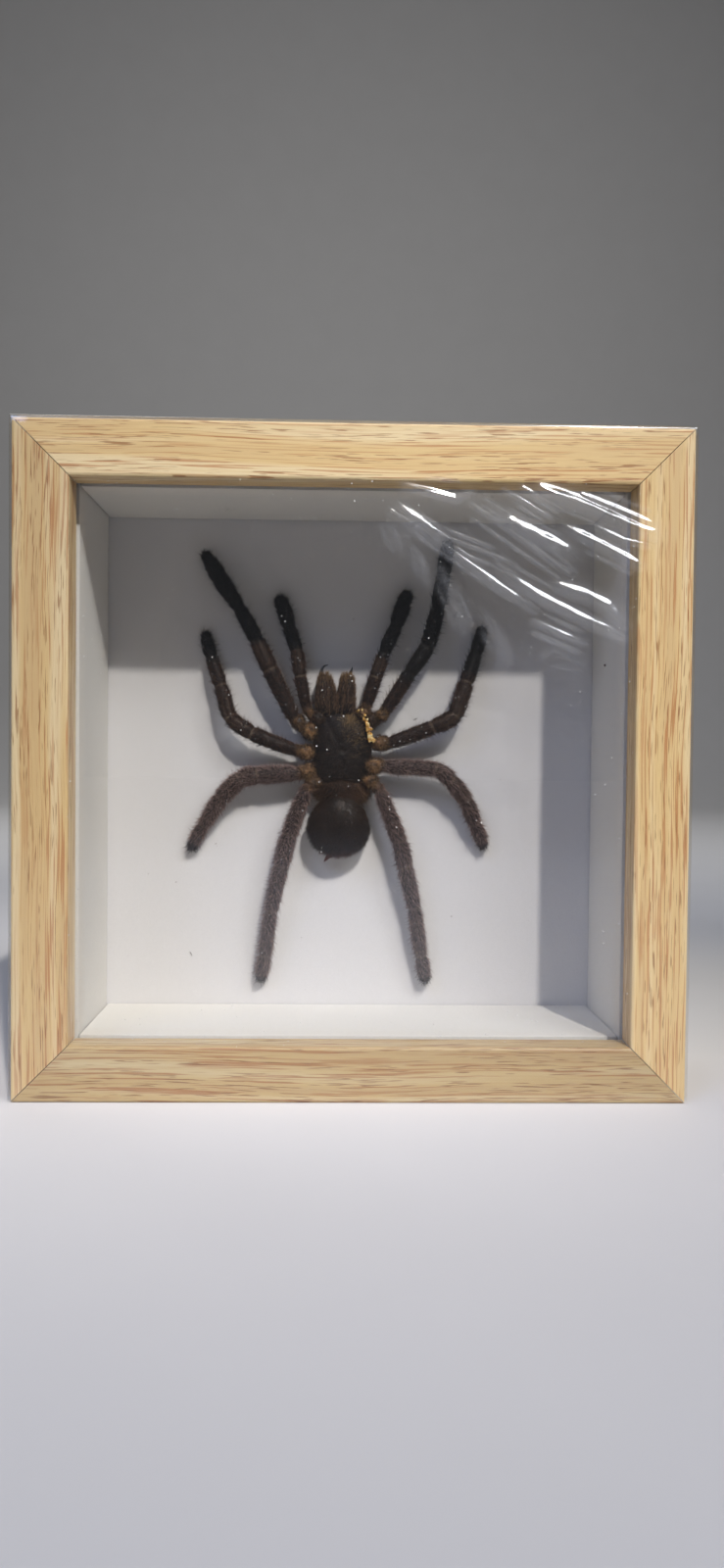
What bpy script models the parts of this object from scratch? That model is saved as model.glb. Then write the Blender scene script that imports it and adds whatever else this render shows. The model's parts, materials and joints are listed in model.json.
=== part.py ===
"""Framed tarantula: a square shadow-box frame with the dried spider laid out on its white card.

Axes: X to the right, Z up and Y from the front to the back of the frame.
The frame stands on its lower rail, with the origin under the middle of the whole part.
"""

import math

import bmesh
import bpy
from mathutils import Matrix, Vector

MM = 0.001

# The frame's driving sizes, in millimetres
OUTER = 150.0  # side of the square
DEPTH = 48.0  # front face to back edge of the rails
FACE = 12.5  # width of a rail's front face
LIP = 7.0  # thickness of the lip in front of the glass
WALL = 7.5  # thickness of a rail behind its lip
EDGE_ROUND = 0.6  # radius on a rail's long edges
MITRE_GAP = 0.1  # kept by each rail at each mitre
GAP = 0.3  # between pieces that touch

GLASS = 2.0
LINER = 5.0
CARD = 1.0
BOARD = 2.5
CARD_DEPTH = 41.2  # front of the card, from the front face of the rails
BACK_OF_BOARD = CARD_DEPTH + CARD + GAP + BOARD

TAB_LENGTH = 10.0
TAB_WIDTH = 6.0
TAB_THICK = 0.4
TAB_IN_WALL = 2.0

HANGER_LENGTH = 38.0
HANGER_HEIGHT = 7.0
HANGER_THICK = 0.7
HANGER_RISE = 1.1  # middle of the hanger off the board
HANGER_FOOT = 6.0  # flat end under each tack
HANGER_RAMP = 1.5
HANGER_Z = 128.0
TEETH = 9
TOOTH_DEPTH = 1.5
TEETH_INSET = 1.0  # from the row of teeth to each bend
TEETH_CUT = 6.0  # height of the cutter behind the teeth, well through the plate
TACK_SHANK = 0.6  # radii
TACK_HEAD = 1.9
TACK_HOLE = 0.9
TACK_DOME = ((0, 0.8), (0.9, 0.7), (1.6, 0.4))  # radius and rise of the head, from its middle to its rim
TACK_POINT = 0.5
CLEAR = 1.0  # how far a cutter runs past what it cuts

FILM = 0.15
FILM_SKIRT = 42.0  # how far the film runs back along the sides
FILM_FOOT = 0.5  # lower edge of the film, above what the frame stands on

# Places that follow from them
HALF = OUTER / 2
REBATE = HALF - WALL - GAP  # half the side of what sits in the rebate
FRONT_Y = (GAP + FILM - DEPTH) / 2
GLASS_DEPTH = LIP + GAP
LINER_DEPTH = GLASS_DEPTH + GLASS + GAP
TAB_DEPTH = BACK_OF_BOARD + GAP
HANGER_DEPTH = BACK_OF_BOARD + GAP
TACK_X = HANGER_LENGTH / 2 - HANGER_FOOT / 2

# The spider's body parts: middle (x, z), height of the middle off the card, and half sizes (x, z, off card)
CARAPACE = ((-2.4, 79.1), 4.6, (7.3, 9.2, 3.3))
CARAPACE_SQUARENESS = 2.6  # power of the outline's superellipse, 2 for a plain ellipse
ABDOMEN = ((-2.9, 60.6), 5.0, (7.9, 8.5, 4.6))
CHELICERAE = {
    "chelicera_left": ((-7.1, 93.2), 4.8, (2.5, 4.3, 2.5)),
    "chelicera_right": ((-1.3, 93.2), 4.8, (2.3, 4.3, 2.5)),
}
CHELICERA_SQUARENESS = 2.5
CHELICERA_LEAN = {"chelicera_left": 8.0, "chelicera_right": 0.0}  # degrees outwards

# Joints of each limb from the body to the tip: x, z, height off the card, radius to the hair tips
LIMBS = {
    "palp_left": (
        (-9.0, 86.0, 4.5, 1.1),
        (-10.5, 87.5, 5.0, 1.3),
        (-11.5, 89.5, 5.0, 1.3),
        (-13.0, 97.0, 5.5, 1.6),
        (-14.0, 103.5, 5.0, 1.6),
        (-16.0, 109.5, 4.0, 1.5),
        (-17.5, 114.5, 3.0, 1.6),
        (-18.5, 117.0, 2.5, 0.9),
    ),
    "palp_right": (
        (3.0, 87.5, 4.5, 1.0),
        (3.5, 89.0, 5.0, 1.3),
        (4.0, 90.5, 5.0, 1.5),
        (6.0, 97.0, 5.5, 1.6),
        (8.0, 103.0, 5.0, 1.5),
        (11.0, 110.0, 4.0, 1.5),
        (13.0, 116.0, 3.0, 1.6),
        (14.0, 118.5, 2.5, 0.9),
    ),
    "leg_1_left": (
        (-10.0, 83.0, 4.5, 1.2),
        (-13.0, 84.5, 5.0, 1.6),
        (-14.5, 86.5, 5.5, 1.7),
        (-20.5, 98.5, 6.5, 2.1),
        (-24.0, 106.0, 6.0, 1.8),
        (-28.5, 114.0, 5.0, 1.6),
        (-33.5, 121.5, 4.0, 2.0),
        (-36.5, 126.5, 2.8, 1.3),
        (-37.5, 128.0, 2.5, 0.7),
    ),
    "leg_1_right": (
        (4.5, 85.0, 4.5, 1.1),
        (7.0, 87.0, 5.0, 1.5),
        (8.5, 88.5, 5.0, 1.6),
        (14.5, 98.0, 6.0, 1.7),
        (19.0, 105.0, 6.0, 1.9),
        (21.5, 114.5, 5.0, 1.7),
        (23.0, 123.5, 4.0, 1.5),
        (24.0, 130.0, 2.8, 1.4),
        (24.0, 131.5, 2.5, 0.7),
    ),
    "leg_2_left": (
        (-10.5, 78.5, 4.5, 1.3),
        (-12.5, 78.5, 5.0, 1.6),
        (-14.5, 78.5, 5.5, 1.7),
        (-25.0, 82.5, 6.5, 1.9),
        (-30.5, 86.5, 6.0, 1.8),
        (-33.0, 94.5, 5.0, 1.7),
        (-35.5, 101.5, 3.5, 1.4),
        (-37.0, 106.5, 2.3, 1.2),
        (-37.0, 108.0, 2.0, 0.6),
    ),
    "leg_2_right": (
        (6.0, 80.0, 4.5, 1.3),
        (7.5, 80.0, 5.0, 1.5),
        (10.0, 80.5, 5.5, 1.7),
        (20.5, 84.5, 6.0, 1.9),
        (26.0, 87.5, 6.0, 2.0),
        (29.0, 96.0, 5.0, 1.8),
        (31.5, 103.5, 3.5, 1.4),
        (33.0, 108.5, 2.3, 1.3),
        (33.0, 110.0, 2.0, 0.6),
    ),
    "leg_3_left": (
        (-10.0, 74.5, 4.5, 1.2),
        (-12.0, 73.0, 5.0, 1.5),
        (-14.0, 72.5, 5.0, 1.8),
        (-23.5, 72.0, 5.0, 2.1),
        (-28.0, 71.0, 4.5, 2.0),
        (-33.0, 66.0, 3.5, 1.8),
        (-37.5, 59.0, 2.5, 1.3),
        (-40.0, 54.5, 1.8, 1.1),
        (-40.5, 53.0, 1.6, 0.6),
    ),
    "leg_3_right": (
        (5.5, 75.5, 4.5, 1.2),
        (7.0, 75.0, 5.0, 1.5),
        (9.0, 74.5, 5.0, 1.7),
        (21.5, 74.0, 5.5, 1.7),
        (25.5, 71.0, 5.0, 1.8),
        (29.5, 66.0, 4.0, 1.7),
        (32.0, 60.0, 3.0, 1.4),
        (34.0, 55.5, 1.8, 1.2),
        (34.0, 54.0, 1.6, 0.6),
    ),
    "leg_4_left": (
        (-8.5, 71.5, 4.5, 1.1),
        (-10.0, 69.5, 5.0, 1.4),
        (-11.5, 68.0, 5.0, 1.6),
        (-15.5, 57.0, 5.5, 1.8),
        (-17.5, 49.0, 5.0, 1.7),
        (-20.0, 37.5, 4.5, 1.4),
        (-21.5, 26.0, 3.0, 1.4),
        (-22.5, 21.0, 2.2, 1.2),
        (-22.5, 19.5, 2.0, 0.6),
    ),
    "leg_4_right": (
        (4.5, 72.0, 4.5, 1.1),
        (6.5, 69.5, 5.0, 1.4),
        (7.5, 68.0, 5.0, 1.6),
        (12.5, 55.5, 5.5, 1.8),
        (14.0, 49.0, 5.0, 1.8),
        (16.5, 38.5, 4.5, 1.5),
        (18.5, 26.0, 3.3, 1.3),
        (19.5, 21.0, 2.7, 1.2),
        (19.5, 19.5, 2.5, 0.6),
    ),
    "fang_left": (
        (-8.0, 98.0, 4.2, 0.6),
        (-8.5, 99.0, 4.3, 0.5),
        (-8.0, 100.0, 4.3, 0.35),
        (-6.5, 100.5, 4.2, 0.12),
    ),
    "fang_right": (
        (-1.0, 98.0, 4.2, 0.6),
        (-0.5, 98.8, 4.3, 0.4),
        (0.0, 100.0, 4.3, 0.12),
    ),
    "spinneret_left": (
        (-4.0, 51.2, 3.5, 0.6),
        (-5.0, 50.6, 3.0, 0.5),
        (-6.0, 50.0, 2.5, 0.25),
    ),
    "spinneret_right": (
        (-1.8, 51.2, 3.5, 0.6),
        (-2.2, 50.6, 3.0, 0.45),
        (-2.5, 50.0, 2.7, 0.2),
    ),
}
LIMB_RINGS = 3  # rings of the mesh from one joint to the next
TINY_LIMBS = ("fang", "spinneret")

MATERIALS = {  # colour, roughness, metallic
    "oak_foil": ((0.69, 0.50, 0.26), 0.45, 0.0),
    "float_glass": ((0.90, 0.95, 0.93), 0.03, 0.0),
    "white_liner": ((0.80, 0.79, 0.75), 0.8, 0.0),
    "white_card": ((0.76, 0.74, 0.72), 0.85, 0.0),
    "hardboard": ((0.30, 0.17, 0.08), 0.7, 0.0),
    "steel": ((0.60, 0.60, 0.60), 0.35, 1.0),
    "brassed_steel": ((0.70, 0.52, 0.22), 0.35, 1.0),
    "clear_film": ((0.95, 0.95, 0.95), 0.1, 0.0),
    "dark_cuticle": ((0.030, 0.022, 0.018), 0.6, 0.0),
    "black_fang": ((0.010, 0.010, 0.014), 0.2, 0.0),
    "red_brown_cuticle": ((0.15, 0.045, 0.03), 0.6, 0.0),
}


def clear_scene():
    for obj in list(bpy.data.objects):
        bpy.data.objects.remove(obj, do_unlink=True)


def collection_named(name):
    made = bpy.data.collections.new(name)
    bpy.context.scene.collection.children.link(made)
    return made


clear_scene()
PARTS = collection_named("framed_tarantula")
CUTTERS = collection_named("cutters")


def depth_y(depth):
    """Y of a plane that lies this many millimetres behind the front face of the rails."""
    return (FRONT_Y + depth) * MM


def above_card(x, z, height):
    """The point this many millimetres in front of the card."""
    return Vector((x * MM, depth_y(CARD_DEPTH - height), z * MM))


def material_named(name, owner):
    """A material of the owner's own, with the finish called name."""
    colour, roughness, metallic = MATERIALS[name]
    material = bpy.data.materials.new(f"{owner}_{name}")
    material.use_nodes = True
    shader = material.node_tree.nodes["Principled BSDF"]
    shader.inputs["Base Color"].default_value = (*colour, 1.0)
    shader.inputs["Roughness"].default_value = roughness
    shader.inputs["Metallic"].default_value = metallic
    material.diffuse_color = (*colour, 1.0)
    return material


def add_part(name, data, finish, collection=PARTS):
    obj = bpy.data.objects.new(name, data)
    collection.objects.link(obj)
    if finish:
        data.materials.clear()
        data.materials.append(material_named(finish, name))
    return obj


def mesh_of(obj):
    """The object's evaluated shape as a mesh of its own, with loose caps welded. The object is removed."""
    bpy.context.view_layer.update()
    graph = bpy.context.evaluated_depsgraph_get()
    mesh = bpy.data.meshes.new_from_object(obj.evaluated_get(graph))
    mesh.transform(obj.matrix_world)
    bpy.data.objects.remove(obj, do_unlink=True)
    shape = bmesh.new()
    shape.from_mesh(mesh)
    bmesh.ops.remove_doubles(shape, verts=shape.verts, dist=1e-6)
    bmesh.ops.recalc_face_normals(shape, faces=shape.faces)
    shape.to_mesh(mesh)
    shape.free()
    return mesh


def box_mesh(name, low, high):
    """A box between two corners in millimetres: x, depth behind the front face, z."""
    shape = bmesh.new()
    bmesh.ops.create_cube(shape, size=1.0)
    low, high = Vector(low), Vector(high)
    size = (high - low) * MM
    middle = (high + low) / 2
    place = Matrix.Translation((middle.x * MM, depth_y(middle.y), middle.z * MM))
    shape.transform(place @ Matrix.Diagonal((*size, 1.0)))
    mesh = bpy.data.meshes.new(name)
    shape.to_mesh(mesh)
    shape.free()
    return mesh


def box(name, low, high, finish, edge=0.0):
    obj = add_part(name, box_mesh(name, low, high), finish)
    if edge:
        bevel = obj.modifiers.new("Softened edges", "BEVEL")
        bevel.width = edge * MM
        bevel.segments = 1
    return obj


def cutter(name, mesh):
    obj = add_part(name, mesh, None, CUTTERS)
    obj.hide_render = True
    obj.display_type = "WIRE"
    return obj


def cut(obj, tool):
    boolean = obj.modifiers.new(f"Cut {tool.name}", "BOOLEAN")
    boolean.operation = "DIFFERENCE"
    boolean.object = tool


def flat_outline(name, points, thickness):
    """A closed outline in its own XY plane, in millimetres, extruded to a thickness about that plane."""
    curve = bpy.data.curves.new(name, "CURVE")
    curve.dimensions = "2D"
    curve.fill_mode = "BOTH"
    curve.extrude = thickness * MM / 2
    spline = curve.splines.new("POLY")
    spline.points.add(len(points) - 1)
    for point, (x, y) in zip(spline.points, points):
        point.co = (x * MM, y * MM, 0.0, 1.0)
    spline.use_cyclic_u = True
    obj = bpy.data.objects.new(name, curve)
    CUTTERS.objects.link(obj)
    return mesh_of(obj)


def rounded_corner(x, y, start, radius=EDGE_ROUND, steps=2):
    """Points of a quarter round whose arc starts at this angle in degrees, about the given centre."""
    return [
        (x + radius * math.cos(math.radians(start + 90 * k / steps)),
         y + radius * math.sin(math.radians(start + 90 * k / steps)))
        for k in range(steps + 1)
    ]


def rail_mesh():
    """The upper rail about the frame's centre: an L section whose ends slope at 45 degrees."""
    r = EDGE_ROUND
    section = [
        *rounded_corner(r, r, 180),  # front outer edge
        *rounded_corner(FACE - r, r, 270),  # front inner edge
        (FACE, LIP),
        (WALL, LIP),
        *rounded_corner(WALL - r, DEPTH - r, 0),  # back inner edge
        *rounded_corner(r, DEPTH - r, 90),  # back outer edge
    ]
    mesh = flat_outline("rail_section", section, OUTER)
    for vertex in mesh.vertices:
        inwards = vertex.co.x / MM
        end = math.copysign(HALF - inwards - MITRE_GAP, vertex.co.z)
        vertex.co = (end * MM, depth_y(vertex.co.y / MM), (HALF - inwards) * MM)
    return mesh


def add_rails():
    pocket_low = (-TAB_WIDTH / 2 - GAP, TAB_DEPTH - GAP, HALF - WALL - GAP)
    pocket_high = (TAB_WIDTH / 2 + GAP, TAB_DEPTH + TAB_THICK + GAP, HALF - WALL + TAB_IN_WALL + GAP)
    pocket = cutter("tab_pocket", box_mesh("tab_pocket", pocket_low, pocket_high))
    blank = add_part("rail_blank", rail_mesh(), None, CUTTERS)
    cut(blank, pocket)
    rail = mesh_of(blank)
    for name, quarter in (("top", 0), ("right", 1), ("bottom", 2), ("left", 3)):
        obj = add_part(f"rail_{name}", rail.copy(), "oak_foil")
        obj.location.z = HALF * MM
        obj.rotation_euler.y = math.radians(90 * quarter)


def tab_mesh():
    """A retaining tab for the upper rail: a strip with a round nose, let into the rail's wall."""
    root = HALF - WALL + TAB_IN_WALL
    nose = root - TAB_LENGTH
    half = TAB_WIDTH / 2
    arc = [
        (half * math.cos(math.radians(a)), nose + half * math.sin(math.radians(a)))
        for a in range(180, 361, 20)
    ]
    mesh = flat_outline("tab", [*arc, (half, root), (-half, root)], TAB_THICK)
    mesh.transform(Matrix.Rotation(math.radians(90), 4, "X"))
    mesh.transform(Matrix.Translation((0, depth_y(TAB_DEPTH + TAB_THICK / 2), 0)))
    return mesh


def add_tabs():
    tab = tab_mesh()
    for name, quarter in (("top", 0), ("right", 1), ("bottom", 2), ("left", 3)):
        obj = add_part(f"tab_{name}", tab.copy(), "steel")
        obj.location.z = HALF * MM
        obj.rotation_euler.y = math.radians(90 * quarter)


def add_layers():
    """What is stacked in the rebate, from the glass to the back board."""
    def layer(name, depth, thickness, finish, edge):
        low = (-REBATE, depth, HALF - REBATE)
        high = (REBATE, depth + thickness, HALF + REBATE)
        return box(name, low, high, finish, edge)

    layer("glass_pane", GLASS_DEPTH, GLASS, "float_glass", 0.2)
    layer("mount_card", CARD_DEPTH, CARD, "white_card", 0.0)
    board = layer("back_board", BACK_OF_BOARD - BOARD, BOARD, "hardboard", 0.0)
    cut(board, tack_holes())


def add_liners():
    front, back = LINER_DEPTH, CARD_DEPTH - GAP
    inner = REBATE - LINER
    low, high = HALF - REBATE, HALF + REBATE
    across = inner - GAP
    for name, side in (("left", -1), ("right", 1)):
        xs = sorted((side * inner, side * REBATE))
        box(f"liner_{name}", (xs[0], front, low), (xs[1], back, high), "white_liner", 0.15)
    box("liner_top", (-across, front, high - LINER), (across, back, high), "white_liner", 0.15)
    box("liner_bottom", (-across, front, low), (across, back, low + LINER), "white_liner", 0.15)


def rod_mesh(name, radius, start, end, x, z, sides=12):
    """A rod along Y between two depths, in millimetres."""
    shape = bmesh.new()
    bmesh.ops.create_cone(
        shape, cap_ends=True, segments=sides, radius1=radius * MM, radius2=radius * MM, depth=(end - start) * MM
    )
    shape.transform(Matrix.Rotation(math.radians(90), 4, "X"))
    shape.transform(Matrix.Translation((x * MM, depth_y((start + end) / 2), z * MM)))
    mesh = bpy.data.meshes.new(name)
    shape.to_mesh(mesh)
    shape.free()
    return mesh


def tack_holes():
    """Both tacks' holes through the hanger and the board, as one cutter."""
    start = BACK_OF_BOARD - BOARD - CLEAR
    end = HANGER_DEPTH + HANGER_THICK + CLEAR
    both = bmesh.new()
    for x in (-TACK_X, TACK_X):
        hole = rod_mesh("hole", TACK_HOLE, start, end, x, HANGER_Z)
        both.from_mesh(hole)
    mesh = bpy.data.meshes.new("tack_holes")
    both.to_mesh(mesh)
    both.free()
    return cutter("tack_holes", mesh)


def add_hanger():
    """A sawtooth hanger: flat feet, a raised middle and a row of teeth in its lower edge."""
    end = HANGER_LENGTH / 2
    foot = end - HANGER_FOOT
    ramp = foot - HANGER_RAMP
    low, rise, thick = HANGER_DEPTH, HANGER_RISE, HANGER_THICK
    near = [(-end, low), (-foot, low), (-ramp, low + rise), (ramp, low + rise), (foot, low), (end, low)]
    far = [(x, y + thick) for x, y in reversed(near)]
    plate = flat_outline("hanger_plate", near + far, HANGER_HEIGHT)
    plate.transform(Matrix.Translation((0, FRONT_Y * MM, HANGER_Z * MM)))
    hanger = add_part("sawtooth_hanger", plate, "brassed_steel")
    last = ramp - TEETH_INSET
    zigzag = [(last * (k / TEETH - 1), TOOTH_DEPTH * (k % 2)) for k in range(2 * TEETH + 1)]
    zigzag += [(last, -TOOTH_DEPTH), (-last, -TOOTH_DEPTH)]
    teeth = flat_outline("hanger_teeth", zigzag, TEETH_CUT)
    teeth.transform(Matrix.Rotation(math.radians(90), 4, "X"))
    bottom = (HANGER_Z - HANGER_HEIGHT / 2 - 0.05) * MM
    teeth.transform(Matrix.Translation((0, depth_y(low + rise), bottom)))
    cut(hanger, cutter("hanger_teeth", teeth))
    cut(hanger, bpy.data.objects["tack_holes"])


def add_tacks():
    """Each tack is a turned profile: a domed head and a shank that ends short of the card."""
    head = HANGER_DEPTH + HANGER_THICK + GAP
    tip = BACK_OF_BOARD - BOARD + GAP
    profile = [(radius, head + rise) for radius, rise in TACK_DOME]
    profile += [(TACK_HEAD, head), (TACK_SHANK, head), (TACK_SHANK, tip + TACK_POINT), (0, tip)]
    for name, x in (("tack_left", -TACK_X), ("tack_right", TACK_X)):
        mesh = bpy.data.meshes.new(name)
        shape = bmesh.new()
        line = [shape.verts.new((r * MM, 0, depth * MM)) for r, depth in profile]
        for a, b in zip(line, line[1:]):
            shape.edges.new((a, b))
        bmesh.ops.spin(
            shape, geom=shape.verts[:] + shape.edges[:], cent=(0, 0, 0), axis=(0, 0, 1),
            angle=2 * math.pi, steps=12, use_merge=True
        )
        bmesh.ops.remove_doubles(shape, verts=shape.verts, dist=1e-6)
        bmesh.ops.recalc_face_normals(shape, faces=shape.faces)
        shape.transform(Matrix.Rotation(math.radians(-90), 4, "X"))
        shape.transform(Matrix.Translation((x * MM, FRONT_Y * MM, HANGER_Z * MM)))
        shape.to_mesh(mesh)
        shape.free()
        add_part(name, mesh, "brassed_steel")


def add_film():
    """The clear film over the front: one sheet folded back along the two sides and the top."""
    side = HALF + GAP
    low = (-side, -GAP, FILM_FOOT)
    high = (side, FILM_SKIRT, OUTER + GAP)
    mesh = box_mesh("wrap_film", low, high)
    shape = bmesh.new()
    shape.from_mesh(mesh)
    open_sides = [f for f in shape.faces if f.normal.y > 0.5 or f.normal.z < -0.5]
    bmesh.ops.delete(shape, geom=open_sides, context="FACES")
    shape.to_mesh(mesh)
    shape.free()
    film = add_part("wrap_film", mesh, "clear_film")
    wall = film.modifiers.new("Film thickness", "SOLIDIFY")
    wall.thickness = FILM * MM
    wall.offset = 1.0
    wall.use_even_offset = True


def ovoid(name, place, finish, segments, rings, power=2.0, narrower=0.0, lean=0.0):
    """A rounded body whose outline on the card is a superellipse of that power.

    narrower takes that share off its width at its upper end, and lean turns that end outwards.
    """
    (x, z), height, (half_x, half_z, half_y) = place
    shape = bmesh.new()
    bmesh.ops.create_uvsphere(shape, u_segments=segments, v_segments=rings, radius=1.0)
    for vertex in shape.verts:
        across, along = abs(vertex.co.x), abs(vertex.co.z)
        if across + along > 0:
            outwards = math.hypot(across, along) / (across**power + along**power) ** (1 / power)
            vertex.co.x *= outwards
            vertex.co.z *= outwards
        vertex.co.x *= 1 - narrower * vertex.co.z
    shape.transform(Matrix.Diagonal((half_x * MM, half_y * MM, half_z * MM, 1.0)))
    shape.transform(Matrix.Rotation(math.radians(-lean), 4, "Y"))
    shape.transform(Matrix.Translation(above_card(x, z, height)))
    mesh = bpy.data.meshes.new(name)
    shape.to_mesh(mesh)
    shape.free()
    mesh.shade_smooth()
    return add_part(name, mesh, finish)


def limb(name, joints, finish):
    """A tube through the limb's joints, as thick at each joint as its hair reaches."""
    curve = bpy.data.curves.new(name, "CURVE")
    curve.dimensions = "3D"
    curve.bevel_depth = MM
    curve.bevel_resolution = 0 if name.startswith(TINY_LIMBS) else 2
    curve.resolution_u = LIMB_RINGS
    curve.use_fill_caps = True
    spline = curve.splines.new("BEZIER")
    spline.bezier_points.add(len(joints) - 1)
    for point, (x, z, height, radius) in zip(spline.bezier_points, joints):
        point.co = above_card(x, z, height)
        point.radius = radius
        point.handle_left_type = "AUTO"
        point.handle_right_type = "AUTO"
    obj = bpy.data.objects.new(name, curve)
    CUTTERS.objects.link(obj)
    return add_part(name, mesh_of(obj), finish)


def add_spider():
    ovoid("carapace", CARAPACE, "dark_cuticle", 20, 12, power=CARAPACE_SQUARENESS, narrower=0.06)
    ovoid("abdomen", ABDOMEN, "dark_cuticle", 20, 12)
    for name, place in CHELICERAE.items():
        lean = CHELICERA_LEAN[name]
        ovoid(name, place, "dark_cuticle", 12, 8, power=CHELICERA_SQUARENESS, lean=lean)
    for name, joints in LIMBS.items():
        finish = {"fang": "black_fang", "spinneret": "red_brown_cuticle"}.get(name.split("_")[0], "dark_cuticle")
        limb(name, joints, finish)


add_rails()
add_layers()
add_liners()
add_tabs()
add_hanger()
add_tacks()
add_film()
add_spider()
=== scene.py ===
"""Framed tarantula: the looks of a square shadow-box frame with a dried spider on its white card.

Axes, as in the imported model: X to the right, Z up and Y from the front to the back, in metres.
Lengths named in this file are in millimetres, and MM turns them into metres.
"""

import json
import math
import random

import bmesh
import bpy
import numpy as np
from mathutils import Matrix, Quaternion, Vector, noise

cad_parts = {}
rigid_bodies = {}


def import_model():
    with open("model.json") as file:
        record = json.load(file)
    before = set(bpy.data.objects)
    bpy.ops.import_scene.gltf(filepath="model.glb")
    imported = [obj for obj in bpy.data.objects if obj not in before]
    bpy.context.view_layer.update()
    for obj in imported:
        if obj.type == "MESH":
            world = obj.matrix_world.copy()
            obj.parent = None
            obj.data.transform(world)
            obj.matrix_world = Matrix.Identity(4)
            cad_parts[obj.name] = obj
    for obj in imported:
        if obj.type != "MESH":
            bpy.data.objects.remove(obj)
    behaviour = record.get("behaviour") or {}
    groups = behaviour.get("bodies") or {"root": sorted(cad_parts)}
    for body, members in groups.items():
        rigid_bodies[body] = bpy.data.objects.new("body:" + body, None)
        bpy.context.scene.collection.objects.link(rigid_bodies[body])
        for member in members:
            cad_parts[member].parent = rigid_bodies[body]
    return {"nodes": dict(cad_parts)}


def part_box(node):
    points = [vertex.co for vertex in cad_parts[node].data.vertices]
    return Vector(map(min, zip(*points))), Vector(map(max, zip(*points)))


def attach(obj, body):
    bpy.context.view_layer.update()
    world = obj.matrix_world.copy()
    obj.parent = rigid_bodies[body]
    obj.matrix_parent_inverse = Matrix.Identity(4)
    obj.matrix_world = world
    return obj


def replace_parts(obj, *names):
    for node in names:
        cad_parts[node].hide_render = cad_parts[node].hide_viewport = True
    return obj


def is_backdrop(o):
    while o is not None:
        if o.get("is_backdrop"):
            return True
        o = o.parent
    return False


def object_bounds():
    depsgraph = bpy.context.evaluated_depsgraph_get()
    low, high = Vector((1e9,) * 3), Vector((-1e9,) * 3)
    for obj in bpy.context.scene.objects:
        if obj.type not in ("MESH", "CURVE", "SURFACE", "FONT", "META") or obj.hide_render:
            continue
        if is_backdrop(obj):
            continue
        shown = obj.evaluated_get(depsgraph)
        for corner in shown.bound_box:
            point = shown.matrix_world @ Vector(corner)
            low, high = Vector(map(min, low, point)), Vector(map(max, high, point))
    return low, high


bl_info = {
    "name": "Framed Tarantula",
    "version": (1, 0, 0),
    "blender": (4, 5, 0),
    "location": "View3D > Sidebar > Specimen",
    "description": "Finishes a shadow-box frame and builds the dried tarantula inside it",
    "category": "Add Mesh",
}

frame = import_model()
CAD_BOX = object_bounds()

MM = 0.001
BODY = "root"  # the one body that every piece rides on
TOWARDS_VIEWER = Vector((0.0, -1.0, 0.0))

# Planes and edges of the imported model
FRAME_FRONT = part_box("rail_top")[0][1]
CARD_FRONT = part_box("mount_card")[0][1]
FILM_LOW, FILM_HIGH = (Vector(corner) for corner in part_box("wrap_film"))
OPENING_LOW = Vector((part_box("rail_left")[1][0], CARD_FRONT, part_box("rail_bottom")[1][2]))
OPENING_HIGH = Vector((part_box("rail_right")[0][0], CARD_FRONT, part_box("rail_top")[0][2]))

# Half sizes of the spider's body parts, with their middles: (x, z), height off the card, (x, z, off card)
CARAPACE = ((-2.3, 78.7), 4.6, (7.4, 9.8, 3.3))
CARAPACE_SQUARENESS = 2.9
ABDOMEN = ((-2.9, 59.5), 5.0, (8.3, 8.2, 4.6))
WAIST = ((-2.4, 68.4), 3.6, (6.9, 4.1, 2.9))
# The last three numbers: how much a jaw narrows, how far its tip leans and where its groove runs
CHELICERAE = {
    "chelicera_left": ((-6.45, 92.0), 4.8, (2.75, 5.9, 2.6), (0.32, -0.50, 0.30)),
    "chelicera_right": ((-1.35, 92.0), 4.8, (2.35, 5.9, 2.6), (0.20, 0.25, -0.25)),
}
# Hairy lumps at the roots of the limbs: x, z, height off the card, half sizes (x, z), how bald and tan
HIPS = (
    (-10.4, 83.3, 5.0, 1.9, 2.2, 1.0),
    (-13.2, 85.4, 5.4, 1.7, 1.8, 0.6),
    (-11.2, 77.9, 5.0, 2.3, 1.9, 0.8),
    (-11.0, 73.0, 4.8, 2.5, 1.8, 0.9),
    (-9.3, 70.2, 4.6, 2.1, 1.8, 0.4),
    (-8.3, 86.6, 4.8, 1.9, 1.8, 0.1),
    (2.9, 88.0, 5.2, 1.9, 1.7, 0.5),
    (5.2, 86.2, 4.8, 1.7, 1.9, 0.2),
    (7.7, 87.5, 5.4, 1.6, 1.5, 1.0),
    (7.4, 80.4, 5.0, 2.6, 1.9, 0.7),
    (5.9, 74.6, 5.0, 2.7, 2.0, 1.0),
    (4.9, 70.8, 4.8, 2.1, 1.8, 0.8),
)

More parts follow.
